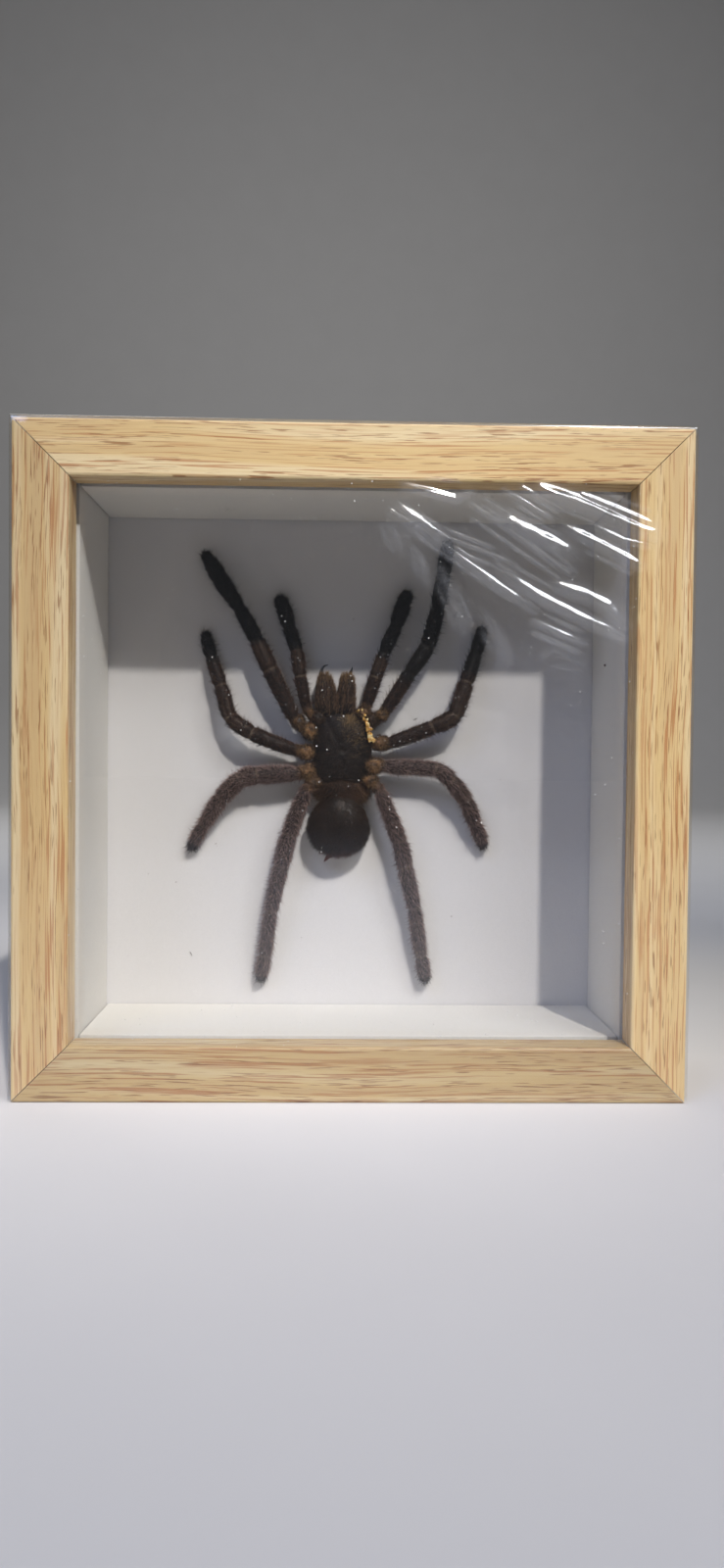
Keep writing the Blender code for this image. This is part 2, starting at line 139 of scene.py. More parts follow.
# Joints of each limb from the body to the tip: x, z, height off the card, radius to the hair tips
LIMBS = {
    "palp_left": (
        (-9.0, 86.0, 4.5, 1.1),
        (-10.5, 87.5, 5.0, 1.3),
        (-11.5, 89.5, 5.0, 1.3),
        (-13.0, 97.0, 5.5, 1.71),
        (-14.0, 103.5, 5.0, 1.71),
        (-16.0, 109.5, 4.0, 1.74),
        (-17.5, 114.5, 3.0, 2.05),
        (-18.5, 117.0, 2.5, 1.44),
    ),
    "palp_right": (
        (3.0, 87.5, 4.5, 1.0),
        (3.5, 89.0, 5.0, 1.3),
        (4.0, 90.5, 5.0, 1.5),
        (6.0, 97.0, 5.5, 1.71),
        (8.0, 103.0, 5.0, 1.6),
        (11.0, 110.0, 4.0, 1.74),
        (13.0, 116.0, 3.0, 2.05),
        (14.0, 118.5, 2.5, 1.44),
    ),
    "leg_1_left": (
        (-10.0, 83.0, 4.5, 1.2),
        (-13.0, 84.5, 5.0, 1.6),
        (-14.5, 86.5, 5.5, 1.7),
        (-20.5, 98.5, 6.5, 2.25),
        (-24.0, 106.0, 6.0, 1.93),
        (-28.5, 114.0, 5.0, 1.71),
        (-33.5, 121.5, 4.0, 2.32),
        (-36.5, 126.5, 2.8, 1.66),
        (-37.5, 128.0, 2.5, 1.12),
    ),
    "leg_1_right": (
        (4.5, 85.0, 4.5, 1.1),
        (7.0, 87.0, 5.0, 1.5),
        (8.5, 88.5, 5.0, 1.6),
        (14.5, 98.0, 6.0, 1.82),
        (19.0, 105.0, 6.0, 2.03),
        (21.5, 114.5, 5.0, 1.82),
        (23.0, 123.5, 4.0, 1.74),
        (24.0, 130.0, 2.8, 1.79),
        (24.0, 131.5, 2.5, 1.12),
    ),
    "leg_2_left": (
        (-10.5, 78.5, 4.5, 1.3),
        (-12.5, 78.5, 5.0, 1.6),
        (-14.5, 78.5, 5.5, 1.7),
        (-25.0, 82.5, 6.5, 2.03),
        (-30.5, 86.5, 6.0, 1.93),
        (-33.0, 94.5, 5.0, 1.82),
        (-35.5, 101.5, 3.5, 1.62),
        (-37.0, 106.5, 2.3, 1.54),
        (-37.0, 108.0, 2.0, 0.96),
    ),
    "leg_2_right": (
        (6.0, 80.0, 4.5, 1.3),
        (7.5, 80.0, 5.0, 1.5),
        (10.0, 80.5, 5.5, 1.7),
        (20.5, 84.5, 6.0, 2.03),
        (26.0, 87.5, 6.0, 2.14),
        (29.0, 96.0, 5.0, 1.93),
        (31.5, 103.5, 3.5, 1.62),
        (33.0, 108.5, 2.3, 1.66),
        (33.0, 110.0, 2.0, 0.96),
    ),
    "leg_3_left": (
        (-10.0, 74.5, 4.5, 1.2),
        (-12.0, 73.0, 5.0, 1.5),
        (-14.0, 72.5, 5.0, 1.8),
        (-23.5, 72.0, 5.0, 2.25),
        (-28.0, 71.0, 4.5, 2.14),
        (-33.0, 66.0, 3.5, 1.93),
        (-37.5, 59.0, 2.5, 1.51),
        (-40.0, 54.5, 1.8, 1.41),
        (-40.5, 53.0, 1.6, 0.96),
    ),
    "leg_3_right": (
        (5.5, 75.5, 4.5, 1.2),
        (7.0, 75.0, 5.0, 1.5),
        (9.0, 74.5, 5.0, 1.7),
        (21.5, 74.0, 5.5, 1.82),
        (25.5, 71.0, 5.0, 1.93),
        (29.5, 66.0, 4.0, 1.82),
        (32.0, 60.0, 3.0, 1.62),
        (34.0, 55.5, 1.8, 1.54),
        (34.0, 54.0, 1.6, 0.96),
    ),
    "leg_4_left": (
        (-8.5, 71.5, 4.5, 1.1),
        (-10.0, 69.5, 5.0, 1.4),
        (-11.5, 68.0, 5.0, 1.6),
        (-15.5, 57.0, 5.5, 1.93),
        (-17.5, 49.0, 5.0, 1.82),
        (-20.0, 37.5, 4.5, 1.5),
        (-21.5, 26.0, 3.0, 1.62),
        (-22.5, 21.0, 2.2, 1.54),
        (-22.5, 19.5, 2.0, 0.96),
    ),
    "leg_4_right": (
        (4.5, 72.0, 4.5, 1.1),
        (6.5, 69.5, 5.0, 1.4),
        (7.5, 68.0, 5.0, 1.6),
        (12.5, 55.5, 5.5, 1.93),
        (14.0, 49.0, 5.0, 1.93),
        (16.5, 38.5, 4.5, 1.6),
        (18.5, 26.0, 3.3, 1.51),
        (19.5, 21.0, 2.7, 1.54),
        (19.5, 19.5, 2.5, 0.96),
    ),
}
SMALL_TUBES = {
    "fang_left": (
        (-7.6, 96.6, 4.2, 0.62),
        (-7.75, 98.0, 4.3, 0.50),
        (-7.55, 99.0, 4.3, 0.36),
        (-7.0, 99.8, 4.25, 0.24),
        (-6.0, 100.1, 4.2, 0.07),
    ),
    "fang_right": (
        (-0.7, 96.6, 4.2, 0.60),
        (-0.35, 98.0, 4.3, 0.42),
        (-0.05, 98.9, 4.3, 0.26),
        (0.2, 99.7, 4.3, 0.06),
    ),
    "spinneret_left": (
        (-4.1, 53.4, 3.7, 1.15),
        (-4.9, 52.2, 3.3, 0.95),
        (-5.7, 51.2, 2.9, 0.58),
        (-6.6, 50.0, 2.6, 0.10),
    ),
    "spinneret_right": (
        (-3.0, 53.2, 3.7, 0.8),
        (-3.3, 52.1, 3.2, 0.55),
        (-3.7, 51.4, 2.9, 0.15),
    ),
}
# The joint past which a limb's hair is black, the rest being brown
BLACK_FROM = {
    "palp_left": 4.0,
    "palp_right": 3.8,
    "leg_1_left": 3.9,
    "leg_1_right": 2.8,
    "leg_2_left": 5.8,
    "leg_2_right": 5.2,
    "leg_3_left": 7.0,
    "leg_3_right": 7.2,
    "leg_4_left": 7.0,
    "leg_4_right": 7.0,
}
CUTICLE_SHARE, HIND_SHARE = 0.9, 0.97  # of the radius above, for the front limbs and the shaggier hind legs


def above_card(x, z, height):
    """The point this many millimetres in front of the card."""
    return Vector((x * MM, CARD_FRONT - height * MM, z * MM))


# ---------------------------------------------------------------- colours and nodes


def linear(colour, alpha=1.0):
    """An sRGB hex colour as the linear RGBA that shaders take."""
    channels = [int(colour[k:k + 2], 16) / 255 for k in (1, 3, 5)]
    return (*[c / 12.92 if c <= 0.04045 else ((c + 0.055) / 1.055) ** 2.4 for c in channels], alpha)


def add_node(tree, kind, inputs=None, stops=None, **settings):
    """Adds a node with its settings; inputs maps sockets to values or to other nodes' outputs."""
    node = tree.nodes.new(kind)
    for name, value in settings.items():
        setattr(node, name, value)
    for key, value in (inputs or {}).items():
        if isinstance(value, bpy.types.NodeSocket):
            tree.links.new(value, node.inputs[key])
        else:
            node.inputs[key].default_value = value
    if stops:
        ramp = node.color_ramp
        while len(ramp.elements) < len(stops):
            ramp.elements.new(0.5)
        for element, (position, colour) in zip(ramp.elements, stops):
            element.position = position
            element.color = linear(colour)
    return node


def new_material(name, **values):
    """A material with one Principled shader, its node tree and that shader."""
    material = bpy.data.materials.new(name)
    material.use_nodes = True
    shader = material.node_tree.nodes["Principled BSDF"]
    for label, value in values.items():
        shader.inputs[label.replace("_", " ").title().replace("Ior", "IOR")].default_value = value
    return material, material.node_tree, shader


def object_position(tree, scale=(1, 1, 1)):
    """Object coordinates in millimetres, stretched by scale."""
    place = add_node(tree, "ShaderNodeTexCoord").outputs["Object"]
    size = [s / MM for s in scale]
    return add_node(tree, "ShaderNodeMapping", {"Vector": place, "Scale": size}).outputs["Vector"]


def blend_colours(tree, share, first, second, mode="MIX"):
    """The colour between two, each a hex colour or a socket."""
    first, second = (linear(c) if isinstance(c, str) else c for c in (first, second))
    mix = add_node(tree, "ShaderNodeMix", {0: share, 6: first, 7: second}, data_type="RGBA", blend_type=mode)
    return mix.outputs[2]


def speckle(tree, place, spacing, size, detail=0.0):
    """1 on spots of about this size that lie about this far apart, else 0."""
    spots = add_node(
        tree, "ShaderNodeTexVoronoi", {"Vector": place, "Scale": 1 / spacing}, feature="F1"
    )
    return add_node(
        tree, "ShaderNodeMapRange",
        {"Value": spots.outputs["Distance"], "From Min": size / spacing, "From Max": 0.6 * size / spacing},
        interpolation_type="SMOOTHSTEP"
    ).outputs["Result"]


# ---------------------------------------------------------------- materials


def oak_foil(name, along, painted_shade, start, settings):
    """Oak-grain melamine foil on a fibreboard moulding.

    The print gives long soft bands, orange-brown streaks and short dark pores, all running with the rail,
    under a thin satin lacquer that is slightly embossed where the pores are. The whole print is multiplied by
    a colour of painted shade, darker for the bottom and left rails, and start picks its stretch of the print.
    """
    material, tree, shader = new_material(name, roughness=0.42, coat_weight=0.12, coat_roughness=0.25)
    place = add_node(tree, "ShaderNodeTexCoord").outputs["Object"]
    parts = add_node(tree, "ShaderNodeSeparateXYZ", {"Vector": place})
    run, rise = ("X", "Z") if along == "X" else ("Z", "X")
    across = add_node(
        tree, "ShaderNodeMath", {0: parts.outputs[rise], 1: parts.outputs["Y"]}, operation="ADD"
    ).outputs[0]

    # The grain wanders sideways along the rail
    drift_place = add_node(tree, "ShaderNodeCombineXYZ", {"X": parts.outputs[run], "Y": across}).outputs[0]
    drift = add_node(
        tree, "ShaderNodeTexNoise", {"Vector": drift_place, "Scale": 1 / (70 * MM), "Detail": 1.0}
    ).outputs["Fac"]
    wander = add_node(
        tree, "ShaderNodeMath", {0: drift, 1: 4.0 * MM, 2: across}, operation="MULTIPLY_ADD"
    ).outputs[0]

    def grain(length, width, offset, detail=2.0):
        """Noise stretched along the rail; length and width in millimetres."""
        long_way = add_node(
            tree, "ShaderNodeMath", {0: parts.outputs[run], 1: 1 / (length * MM)}, operation="MULTIPLY"
        ).outputs[0]
        cross_way = add_node(
            tree, "ShaderNodeMath", {0: wander, 1: 1 / (width * MM)}, operation="MULTIPLY"
        ).outputs[0]
        where = add_node(tree, "ShaderNodeCombineXYZ", {"X": long_way, "Y": cross_way, "Z": offset + start}).outputs[0]
        return add_node(
            tree, "ShaderNodeTexNoise", {"Vector": where, "Scale": 1.0, "Detail": detail}
        ).outputs["Fac"]

    def share_of(value, low, high):
        return add_node(
            tree, "ShaderNodeMapRange", {"Value": value, "From Min": low, "From Max": high},
            interpolation_type="SMOOTHSTEP"
        ).outputs["Result"]

    bands = grain(150, 4.2, 1.7, 1.0)
    base = add_node(
        tree, "ShaderNodeValToRGB", {"Fac": bands},
        stops=[(0.36, settings.foil_dark), (0.5, settings.foil_colour), (0.64, settings.foil_light)]
    ).outputs["Color"]
    fibre = grain(16, 0.45, 5.1)
    fibre_share = add_node(
        tree, "ShaderNodeMath", {0: share_of(fibre, 0.35, 0.75), 1: 0.25}, operation="MULTIPLY"
    ).outputs[0]
    base = blend_colours(tree, fibre_share, base, "#CFA570")
    streak_zone = add_node(
        tree, "ShaderNodeMapRange",
        {"Value": grain(110, 3.0, 9.3, 1.0), "From Min": 0.38, "From Max": 0.58, "To Min": 0.4}
    ).outputs["Result"]
    streaks = share_of(grain(24, 0.44, 13.9, 2.5), 0.53, 0.60)
    streak_share = add_node(
        tree, "ShaderNodeMath", {0: streak_zone, 1: streaks}, operation="MULTIPLY"
    ).outputs[0]
    streak_share = add_node(
        tree, "ShaderNodeMath", {0: streak_share, 1: 0.72}, operation="MULTIPLY"
    ).outputs[0]
    tinted = blend_colours(tree, streak_share, base, settings.streak_colour)
    pore_zone = share_of(grain(60, 2.4, 21.3), 0.36, 0.54)
    pores = share_of(grain(7.0, 0.32, 17.7, 1.5), 0.58, 0.65)
    pore_share = add_node(
        tree, "ShaderNodeMath", {0: pores, 1: pore_zone}, operation="MULTIPLY"
    ).outputs[0]
    strength = add_node(
        tree, "ShaderNodeMath", {0: pore_share, 1: 0.72}, operation="MULTIPLY"
    ).outputs[0]
    # painted shade: the last colour darkens the whole rail, the bottom and left rails most
    final = blend_colours(tree, 1.0, blend_colours(tree, strength, tinted, settings.pore_colour), painted_shade, "MULTIPLY")
    tree.links.new(final, shader.inputs["Base Color"])
    relief = add_node(
        tree, "ShaderNodeBump", {"Height": pore_share, "Strength": 0.35, "Distance": 0.05 * MM}, invert=True
    )
    tree.links.new(relief.outputs["Normal"], shader.inputs["Normal"])
    rough = add_node(
        tree, "ShaderNodeMapRange", {"Value": fibre, "To Min": 0.36, "To Max": 0.52}
    ).outputs["Result"]
    tree.links.new(rough, shader.inputs["Roughness"])
    return material


def float_glass(settings):
    """Float glass: clear, with a sharp mirror; soft light passes straight through."""
    material, tree, shader = new_material(
        "float_glass", transmission_weight=1.0, roughness=0.0, ior=1.5, base_color=linear("#FEFEFE")
    )
    rays = add_node(tree, "ShaderNodeLightPath").outputs
    straight = add_node(
        tree, "ShaderNodeMath", {0: rays["Is Shadow Ray"], 1: rays["Is Diffuse Ray"]}, operation="MAXIMUM"
    ).outputs[0]
    through = add_node(tree, "ShaderNodeBsdfTransparent", {"Color": linear("#FAFAFA")})
    mix = add_node(
        tree, "ShaderNodeMixShader",
        {0: straight, 1: shader.outputs[0], 2: through.outputs[0]}
    )
    tree.links.new(mix.outputs[0], tree.nodes["Material Output"].inputs["Surface"])
    return material


def paper_board(name, colour, fleck, roughness, fibre_size, fleck_spacing):
    """White paper over board: dead matt, with a fine tooth and a few grey flecks pressed into it."""
    material, tree, shader = new_material(name, roughness=roughness, specular_ior_level=0.3)
    place = object_position(tree)
    cloud = add_node(
        tree, "ShaderNodeTexNoise", {"Vector": place, "Scale": 1 / 14, "Detail": 3.0}
    ).outputs["Fac"]
    base = blend_colours(tree, cloud, colour, fleck)
    base = blend_colours(tree, 0.25, colour, base)
    tooth = add_node(
        tree, "ShaderNodeTexNoise", {"Vector": place, "Scale": 1 / fibre_size, "Detail": 4.0, "Roughness": 0.7}
    ).outputs["Fac"]
    mottle = add_node(
        tree, "ShaderNodeMapRange", {"Value": tooth, "From Min": 0.3, "From Max": 0.7, "To Min": 0.94, "To Max": 1.03}
    ).outputs["Result"]
    base = blend_colours(tree, 1.0, base, mottle, "MULTIPLY")
    flecks = speckle(tree, place, fleck_spacing, 0.14)
    flecks = add_node(tree, "ShaderNodeMath", {0: flecks, 1: 0.45}, operation="MULTIPLY").outputs[0]
    base = blend_colours(tree, flecks, base, "#6E6862")
    tree.links.new(base, shader.inputs["Base Color"])
    relief = add_node(tree, "ShaderNodeBump", {"Height": tooth, "Strength": 0.25, "Distance": 0.05 * MM})
    tree.links.new(relief.outputs["Normal"], shader.inputs["Normal"])
    return material


def hardboard():
    """Hardboard: pressed brown wood fibre with a smooth, faintly mottled face."""
    material, tree, shader = new_material("hardboard", roughness=0.6)
    place = object_position(tree)
    fibre = add_node(
        tree, "ShaderNodeTexNoise", {"Vector": place, "Scale": 1 / 0.9, "Detail": 6.0, "Distortion": 1.4}
    ).outputs["Fac"]
    cloud = add_node(
        tree, "ShaderNodeTexNoise", {"Vector": place, "Scale": 1 / 22, "Detail": 2.0}
    ).outputs["Fac"]
    base = add_node(
        tree, "ShaderNodeValToRGB", {"Fac": fibre},
        stops=[(0.3, "#4A2E1A"), (0.5, "#6B4526"), (0.72, "#8C6240")]
    ).outputs["Color"]
    shaded = blend_colours(tree, cloud, base, "#5A3A22")
    tree.links.new(shaded, shader.inputs["Base Color"])
    relief = add_node(tree, "ShaderNodeBump", {"Height": fibre, "Strength": 0.3, "Distance": 0.08 * MM})
    tree.links.new(relief.outputs["Normal"], shader.inputs["Normal"])
    return material


def plated_steel(name, bright, dull, roughness):
    """Plated sheet steel: rolled and tumbled, so its shine is broken by fine scuffs and dull patches."""
    material, tree, shader = new_material(name, metallic=1.0)
    place = object_position(tree)
    scuff = add_node(
        tree, "ShaderNodeTexNoise",
        {"Vector": object_position(tree, (0.4, 1.0, 3.0)), "Scale": 1 / 0.5, "Detail": 3.0}
    ).outputs["Fac"]
    patch = add_node(
        tree, "ShaderNodeTexNoise", {"Vector": place, "Scale": 1 / 2.4, "Detail": 2.0}
    ).outputs["Fac"]
    tree.links.new(blend_colours(tree, patch, bright, dull), shader.inputs["Base Color"])
    rough = add_node(
        tree, "ShaderNodeMapRange", {"Value": scuff, "To Min": roughness - 0.12, "To Max": roughness + 0.15}
    ).outputs["Result"]
    tree.links.new(rough, shader.inputs["Roughness"])
    return material


def shrink_film():
    """Polyolefin shrink film: thin and clear, so it shows by its gloss and by the milky haze on its creases."""
    material, tree, shader = new_material("shrink_film")
    facing = add_node(tree, "ShaderNodeLayerWeight", {"Blend": 0.5}).outputs["Facing"]
    steep = add_node(tree, "ShaderNodeMath", {0: facing, 1: 4.0}, operation="POWER").outputs[0]
    gloss_share = add_node(
        tree, "ShaderNodeMath", {0: steep, 1: 0.7, 2: 0.08}, operation="MULTIPLY_ADD"
    ).outputs[0]
    gloss = add_node(tree, "ShaderNodeBsdfGlossy", {"Color": linear("#FFFFFF"), "Roughness": 0.11})
    through = add_node(tree, "ShaderNodeBsdfTransparent", {"Color": linear("#FBFCFC")})
    mix = add_node(tree, "ShaderNodeMixShader", {0: gloss_share, 1: through.outputs[0], 2: gloss.outputs[0]})
    tree.nodes.remove(shader)
    crazing = add_node(
        tree, "ShaderNodeTexNoise", {"Vector": object_position(tree), "Scale": 1 / 1.1, "Detail": 4.0}
    ).outputs["Fac"]
    milky = add_node(
        tree, "ShaderNodeMath", {0: attribute(tree, "crease"), 1: crazing}, operation="MULTIPLY"
    ).outputs[0]
    milky = add_node(tree, "ShaderNodeMath", {0: milky, 1: 0.2}, operation="MULTIPLY").outputs[0]
    haze = add_node(tree, "ShaderNodeBsdfDiffuse", {"Color": linear("#F2F4F8")})
    mix = add_node(tree, "ShaderNodeMixShader", {0: milky, 1: mix.outputs[0], 2: haze.outputs[0]})
    tree.links.new(mix.outputs[0], tree.nodes["Material Output"].inputs["Surface"])
    return material


def attribute(tree, name, output="Fac"):
    return add_node(tree, "ShaderNodeAttribute", attribute_name=name).outputs[output]


def spider_cuticle(name, brown, tan, settings):
    """Dried spider cuticle: dark horny skin, matt and lightly wrinkled, bald and tan round the hips.

    It reads the attributes that each skin carries: bald, black, ring and stripe.
    """
    material, tree, shader = new_material(name, roughness=0.6, sheen_weight=0.02, sheen_roughness=0.4, specular_ior_level=0.12)
    place = object_position(tree)
    wrinkle = add_node(
        tree, "ShaderNodeTexNoise", {"Vector": place, "Scale": 1 / 0.55, "Detail": 4.0, "Distortion": 0.6}
    ).outputs["Fac"]
    patch = add_node(
        tree, "ShaderNodeTexNoise", {"Vector": place, "Scale": 1 / 1.6, "Detail": 3.0}
    ).outputs["Fac"]
    skin = add_node(
        tree, "ShaderNodeValToRGB", {"Fac": wrinkle},
        stops=[(0.3, "#0C0807"), (0.55, brown), (0.8, "#35291F")]
    ).outputs["Color"]
    bald_patch = add_node(
        tree, "ShaderNodeMapRange", {"Value": patch, "From Min": 0.36, "From Max": 0.58}
    ).outputs["Result"]
    bald = add_node(
        tree, "ShaderNodeMath", {0: attribute(tree, "bald"), 1: bald_patch}, operation="MULTIPLY"
    ).outputs[0]
    hips = add_node(
        tree, "ShaderNodeValToRGB", {"Fac": wrinkle},
        stops=[(0.3, "#2E1F14"), (0.5, tan), (0.75, "#A9855A")]
    ).outputs["Color"]
    skin = blend_colours(tree, bald, skin, hips)
    ring = add_node(tree, "ShaderNodeMath", {0: attribute(tree, "ring"), 1: 0.4}, operation="MULTIPLY").outputs[0]
    skin = blend_colours(tree, ring, skin, "#8F7C68")
    stripe = add_node(
        tree, "ShaderNodeMath", {0: attribute(tree, "stripe"), 1: 0.6}, operation="MULTIPLY"
    ).outputs[0]
    skin = blend_colours(tree, stripe, skin, "#5E4A3A")
    skin = blend_colours(tree, attribute(tree, "black"), skin, "#0E0B09")
    tree.links.new(skin, shader.inputs["Base Color"])
    relief = add_node(tree, "ShaderNodeBump", {"Height": wrinkle, "Strength": 0.5, "Distance": 0.12 * MM})
    tree.links.new(relief.outputs["Normal"], shader.inputs["Normal"])
    rough = add_node(
        tree, "ShaderNodeMapRange", {"Value": patch, "To Min": 0.42, "To Max": 0.68}
    ).outputs["Result"]
    tree.links.new(rough, shader.inputs["Roughness"])
    return material


def spider_hair(name, dark, light, settings):
    """Spider setae: tapering keratin-like bristles, dark at the root and paler and silky at the tip."""
    material, tree, shader = new_material(name, roughness=0.6, sheen_weight=0.02, sheen_roughness=0.35, specular_ior_level=0.1)
    shade = attribute(tree, "shade")
    tip = attribute(tree, "tip")
    paleness = add_node(tree, "ShaderNodeMath", {0: shade, 1: 2.2}, operation="POWER").outputs[0]
    body = blend_colours(tree, paleness, dark, light)
    ends = add_node(tree, "ShaderNodeMath", {0: tip, 1: 0.45}, operation="MULTIPLY").outputs[0]
    body = blend_colours(tree, ends, body, light)
    pale = add_node(
        tree, "ShaderNodeMath", {0: attribute(tree, "bald"), 1: 0.8}, operation="MULTIPLY"
    ).outputs[0]
    body = blend_colours(tree, pale, body, "#8C6C48")
    black = add_node(
        tree, "ShaderNodeMath", {0: attribute(tree, "black"), 1: 0.9}, operation="MULTIPLY"
    ).outputs[0]
    body = blend_colours(tree, black, body, "#120E0C")
    tree.links.new(body, shader.inputs["Base Color"])
    return material


def fang_horn():
    """Fang cuticle: thick, polished and almost black, with a blue-grey shine."""
    material, tree, shader = new_material(
        "fang_horn", roughness=0.16, coat_weight=0.6, coat_roughness=0.08, ior=1.56
    )
    grain = add_node(
        tree, "ShaderNodeTexNoise", {"Vector": object_position(tree), "Scale": 1 / 0.3, "Detail": 2.0}
    ).outputs["Fac"]
    tree.links.new(blend_colours(tree, grain, "#0B0C10", "#1C1E26"), shader.inputs["Base Color"])
    return material


def eye_lens():
    """A spider's simple eye: a small glassy amber-black bead."""
    material, tree, shader = new_material("eye_lens", roughness=0.08, coat_weight=1.0, ior=1.5)
    cloud = add_node(
        tree, "ShaderNodeTexNoise", {"Vector": object_position(tree), "Scale": 1 / 0.4}
    ).outputs["Fac"]
    tree.links.new(blend_colours(tree, cloud, "#2A1B10", "#7A6A58"), shader.inputs["Base Color"])
    return material


def dried_resin():
    """Dried body fluid and glue: a glossy amber crust, clear gold where thin and brown where thick."""
    material, tree, shader = new_material(
        "dried_resin", roughness=0.12, coat_weight=0.8, coat_roughness=0.05, ior=1.54, transmission_weight=0.4
    )
    cloud = add_node(
        tree, "ShaderNodeTexNoise", {"Vector": object_position(tree), "Scale": 1 / 1.1, "Detail": 3.0}
    ).outputs["Fac"]
    base = add_node(
        tree, "ShaderNodeValToRGB", {"Fac": cloud},
        stops=[(0.3, "#8A5416"), (0.45, "#DCA33E"), (0.62, "#F6DC98")]
    ).outputs["Color"]
    tree.links.new(base, shader.inputs["Base Color"])
    relief = add_node(tree, "ShaderNodeBump", {"Height": cloud, "Strength": 0.5, "Distance": 0.15 * MM})
    tree.links.new(relief.outputs["Normal"], shader.inputs["Normal"])
    return material


def lint(name, first, second):
    """House dust: matt flakes and fibres, each a slightly different grey."""
    material, tree, shader = new_material(name, roughness=0.8)
    cloud = add_node(
        tree, "ShaderNodeTexNoise", {"Vector": object_position(tree), "Scale": 1 / 2.5}
    ).outputs["Fac"]
    tree.links.new(blend_colours(tree, cloud, first, second), shader.inputs["Base Color"])
    return material


# ---------------------------------------------------------------- making and finishing pieces


def piece_named(name, mesh, material):
    """Adds a mesh as a finished piece that rides on the frame."""
    piece = bpy.data.objects.new(name, mesh)
    bpy.context.scene.collection.objects.link(piece)
    mesh.materials.clear()
    mesh.materials.append(material)
    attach(piece, BODY)
    return piece


def finish_node(node, material):
    """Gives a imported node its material, on the object's own slot."""
    obj = frame["nodes"][node]
    for slot in obj.material_slots:
        slot.link = "OBJECT"
        slot.material = material


def mesh_from(name, points, faces, smooth=True):
    """A mesh whose doubles are merged and whose faces point outwards."""
    mesh = bpy.data.meshes.new(name)
    mesh.from_pydata([tuple(p) for p in points], [], faces)
    shape = bmesh.new()
    shape.from_mesh(mesh)
    bmesh.ops.recalc_face_normals(shape, faces=shape.faces)
    shape.to_mesh(mesh)
    shape.free()
    if smooth:
        mesh.shade_smooth()
    return mesh


def set_attribute(mesh, name, values, kind="FLOAT"):
    data = mesh.attributes.new(name, kind, "POINT").data
    data.foreach_set("vector" if kind == "FLOAT_VECTOR" else "value", np.asarray(values, np.float32).ravel())


def joined(name, shapes):
    """One mesh from several, each in its place."""
    whole = bmesh.new()
    for mesh in shapes:
        whole.from_mesh(mesh)
        bpy.data.meshes.remove(mesh)
    mesh = bpy.data.meshes.new(name)
    whole.to_mesh(mesh)
    whole.free()
    return mesh


def tube_rings(joints, share=1.0, spacing=1.2, pinch=0.0, pinch_reach=0.6):
    """Rings along a limb: middle, radius and place, counted in joints from the body.

    The path is half way between straight segments and a smooth curve, and each inner joint is pinched.
    """
    points = [above_card(x, z, height) for x, z, height, _ in joints]
    rings = []
    last = len(joints) - 1
    for k in range(last):
        start, end = points[k], points[k + 1]
        before, after = points[max(k - 1, 0)], points[min(k + 2, last)]
        length = (end - start).length / MM
        steps = max(3, round(length / spacing))
        near = [d / length for d in (0.0, 0.35, 0.7, 1.1) if d < length / 2]
        shares = sorted({round(t, 4) for t in near + [1 - t for t in near if t] + [s / steps for s in range(steps)]})
        for t in (t for t in shares if t < 0.999):
            straight = start.lerp(end, t)
            handle = (end - before) / 6, (after - start) / 6
            u = 1 - t
            curved = (start * u**3 + (start + handle[0]) * 3 * u * u * t
                      + (end - handle[1]) * 3 * u * t * t + end * t**3)
            to_joint = min(t if k > 0 else 9, 1 - t if k < last - 1 else 9) * length
            squeeze = 1 - pinch * math.exp(-(to_joint / pinch_reach) ** 2)
            belly = 1 + 0.04 * math.sin(math.pi * t)
            radius = joints[k][3] * u + joints[k + 1][3] * t
            rings.append((straight.lerp(curved, 0.5), radius * share * squeeze * belly * MM, k + t))
    rings.append((points[last], joints[last][3] * share * MM, float(last)))
    return rings


def tube_mesh(name, rings, sides=12, ripple=0.0):
    """A closed tube round the rings, with the attribute lie, also giving each point's place along the limb and angle
    round it. The seam faces the card.
    """
    points, faces, along, lies, angles = [], [], [], [], []
    for k, (middle, radius, place) in enumerate(rings):
        ahead = rings[min(k + 1, len(rings) - 1)][0] - rings[max(k - 1, 0)][0]
        tangent = ahead.normalized()
        side = tangent.cross(TOWARDS_VIEWER).normalized()
        front = side.cross(tangent).normalized()
        for s in range(sides):
            angle = 2 * math.pi * s / sides - math.pi
            reach = front * math.cos(angle) + side * math.sin(angle)
            rough = 1 + ripple * noise.noise(middle / (1.3 * MM) + reach * 1.7)
            points.append(middle + reach * radius * rough)
            along.append(place)
            lies.append(tangent)
            angles.append(angle)
        if k:
            a, b = (k - 1) * sides, k * sides
            faces += [(a + s, a + (s + 1) % sides, b + (s + 1) % sides, b + s) for s in range(sides)]
    for end, inner, first in ((0, 1, 0), (-1, -2, (len(rings) - 1) * sides)):
        outwards = (rings[end][0] - rings[inner][0]).normalized()
        points.append(rings[end][0] + outwards * rings[end][1] * 0.6)
        along.append(rings[end][2])
        lies.append(outwards)
        angles.append(0.0)
        pole = len(points) - 1
        faces += [(first + s, first + (s + 1) % sides, pole) for s in range(sides)]
    mesh = mesh_from(name, points, faces)
    set_attribute(mesh, "lie", lies, "FLOAT_VECTOR")
    return mesh, np.array(along), np.array(angles)


def bump_at(values, middle, reach):
    return np.exp(-((values - middle) / reach) ** 2)


def smooth_step(values, low, high):
    share = np.clip((values - low) / (high - low), 0, 1)
    return share * share * (3 - 2 * share)


# ---------------------------------------------------------------- bristles by Geometry Nodes

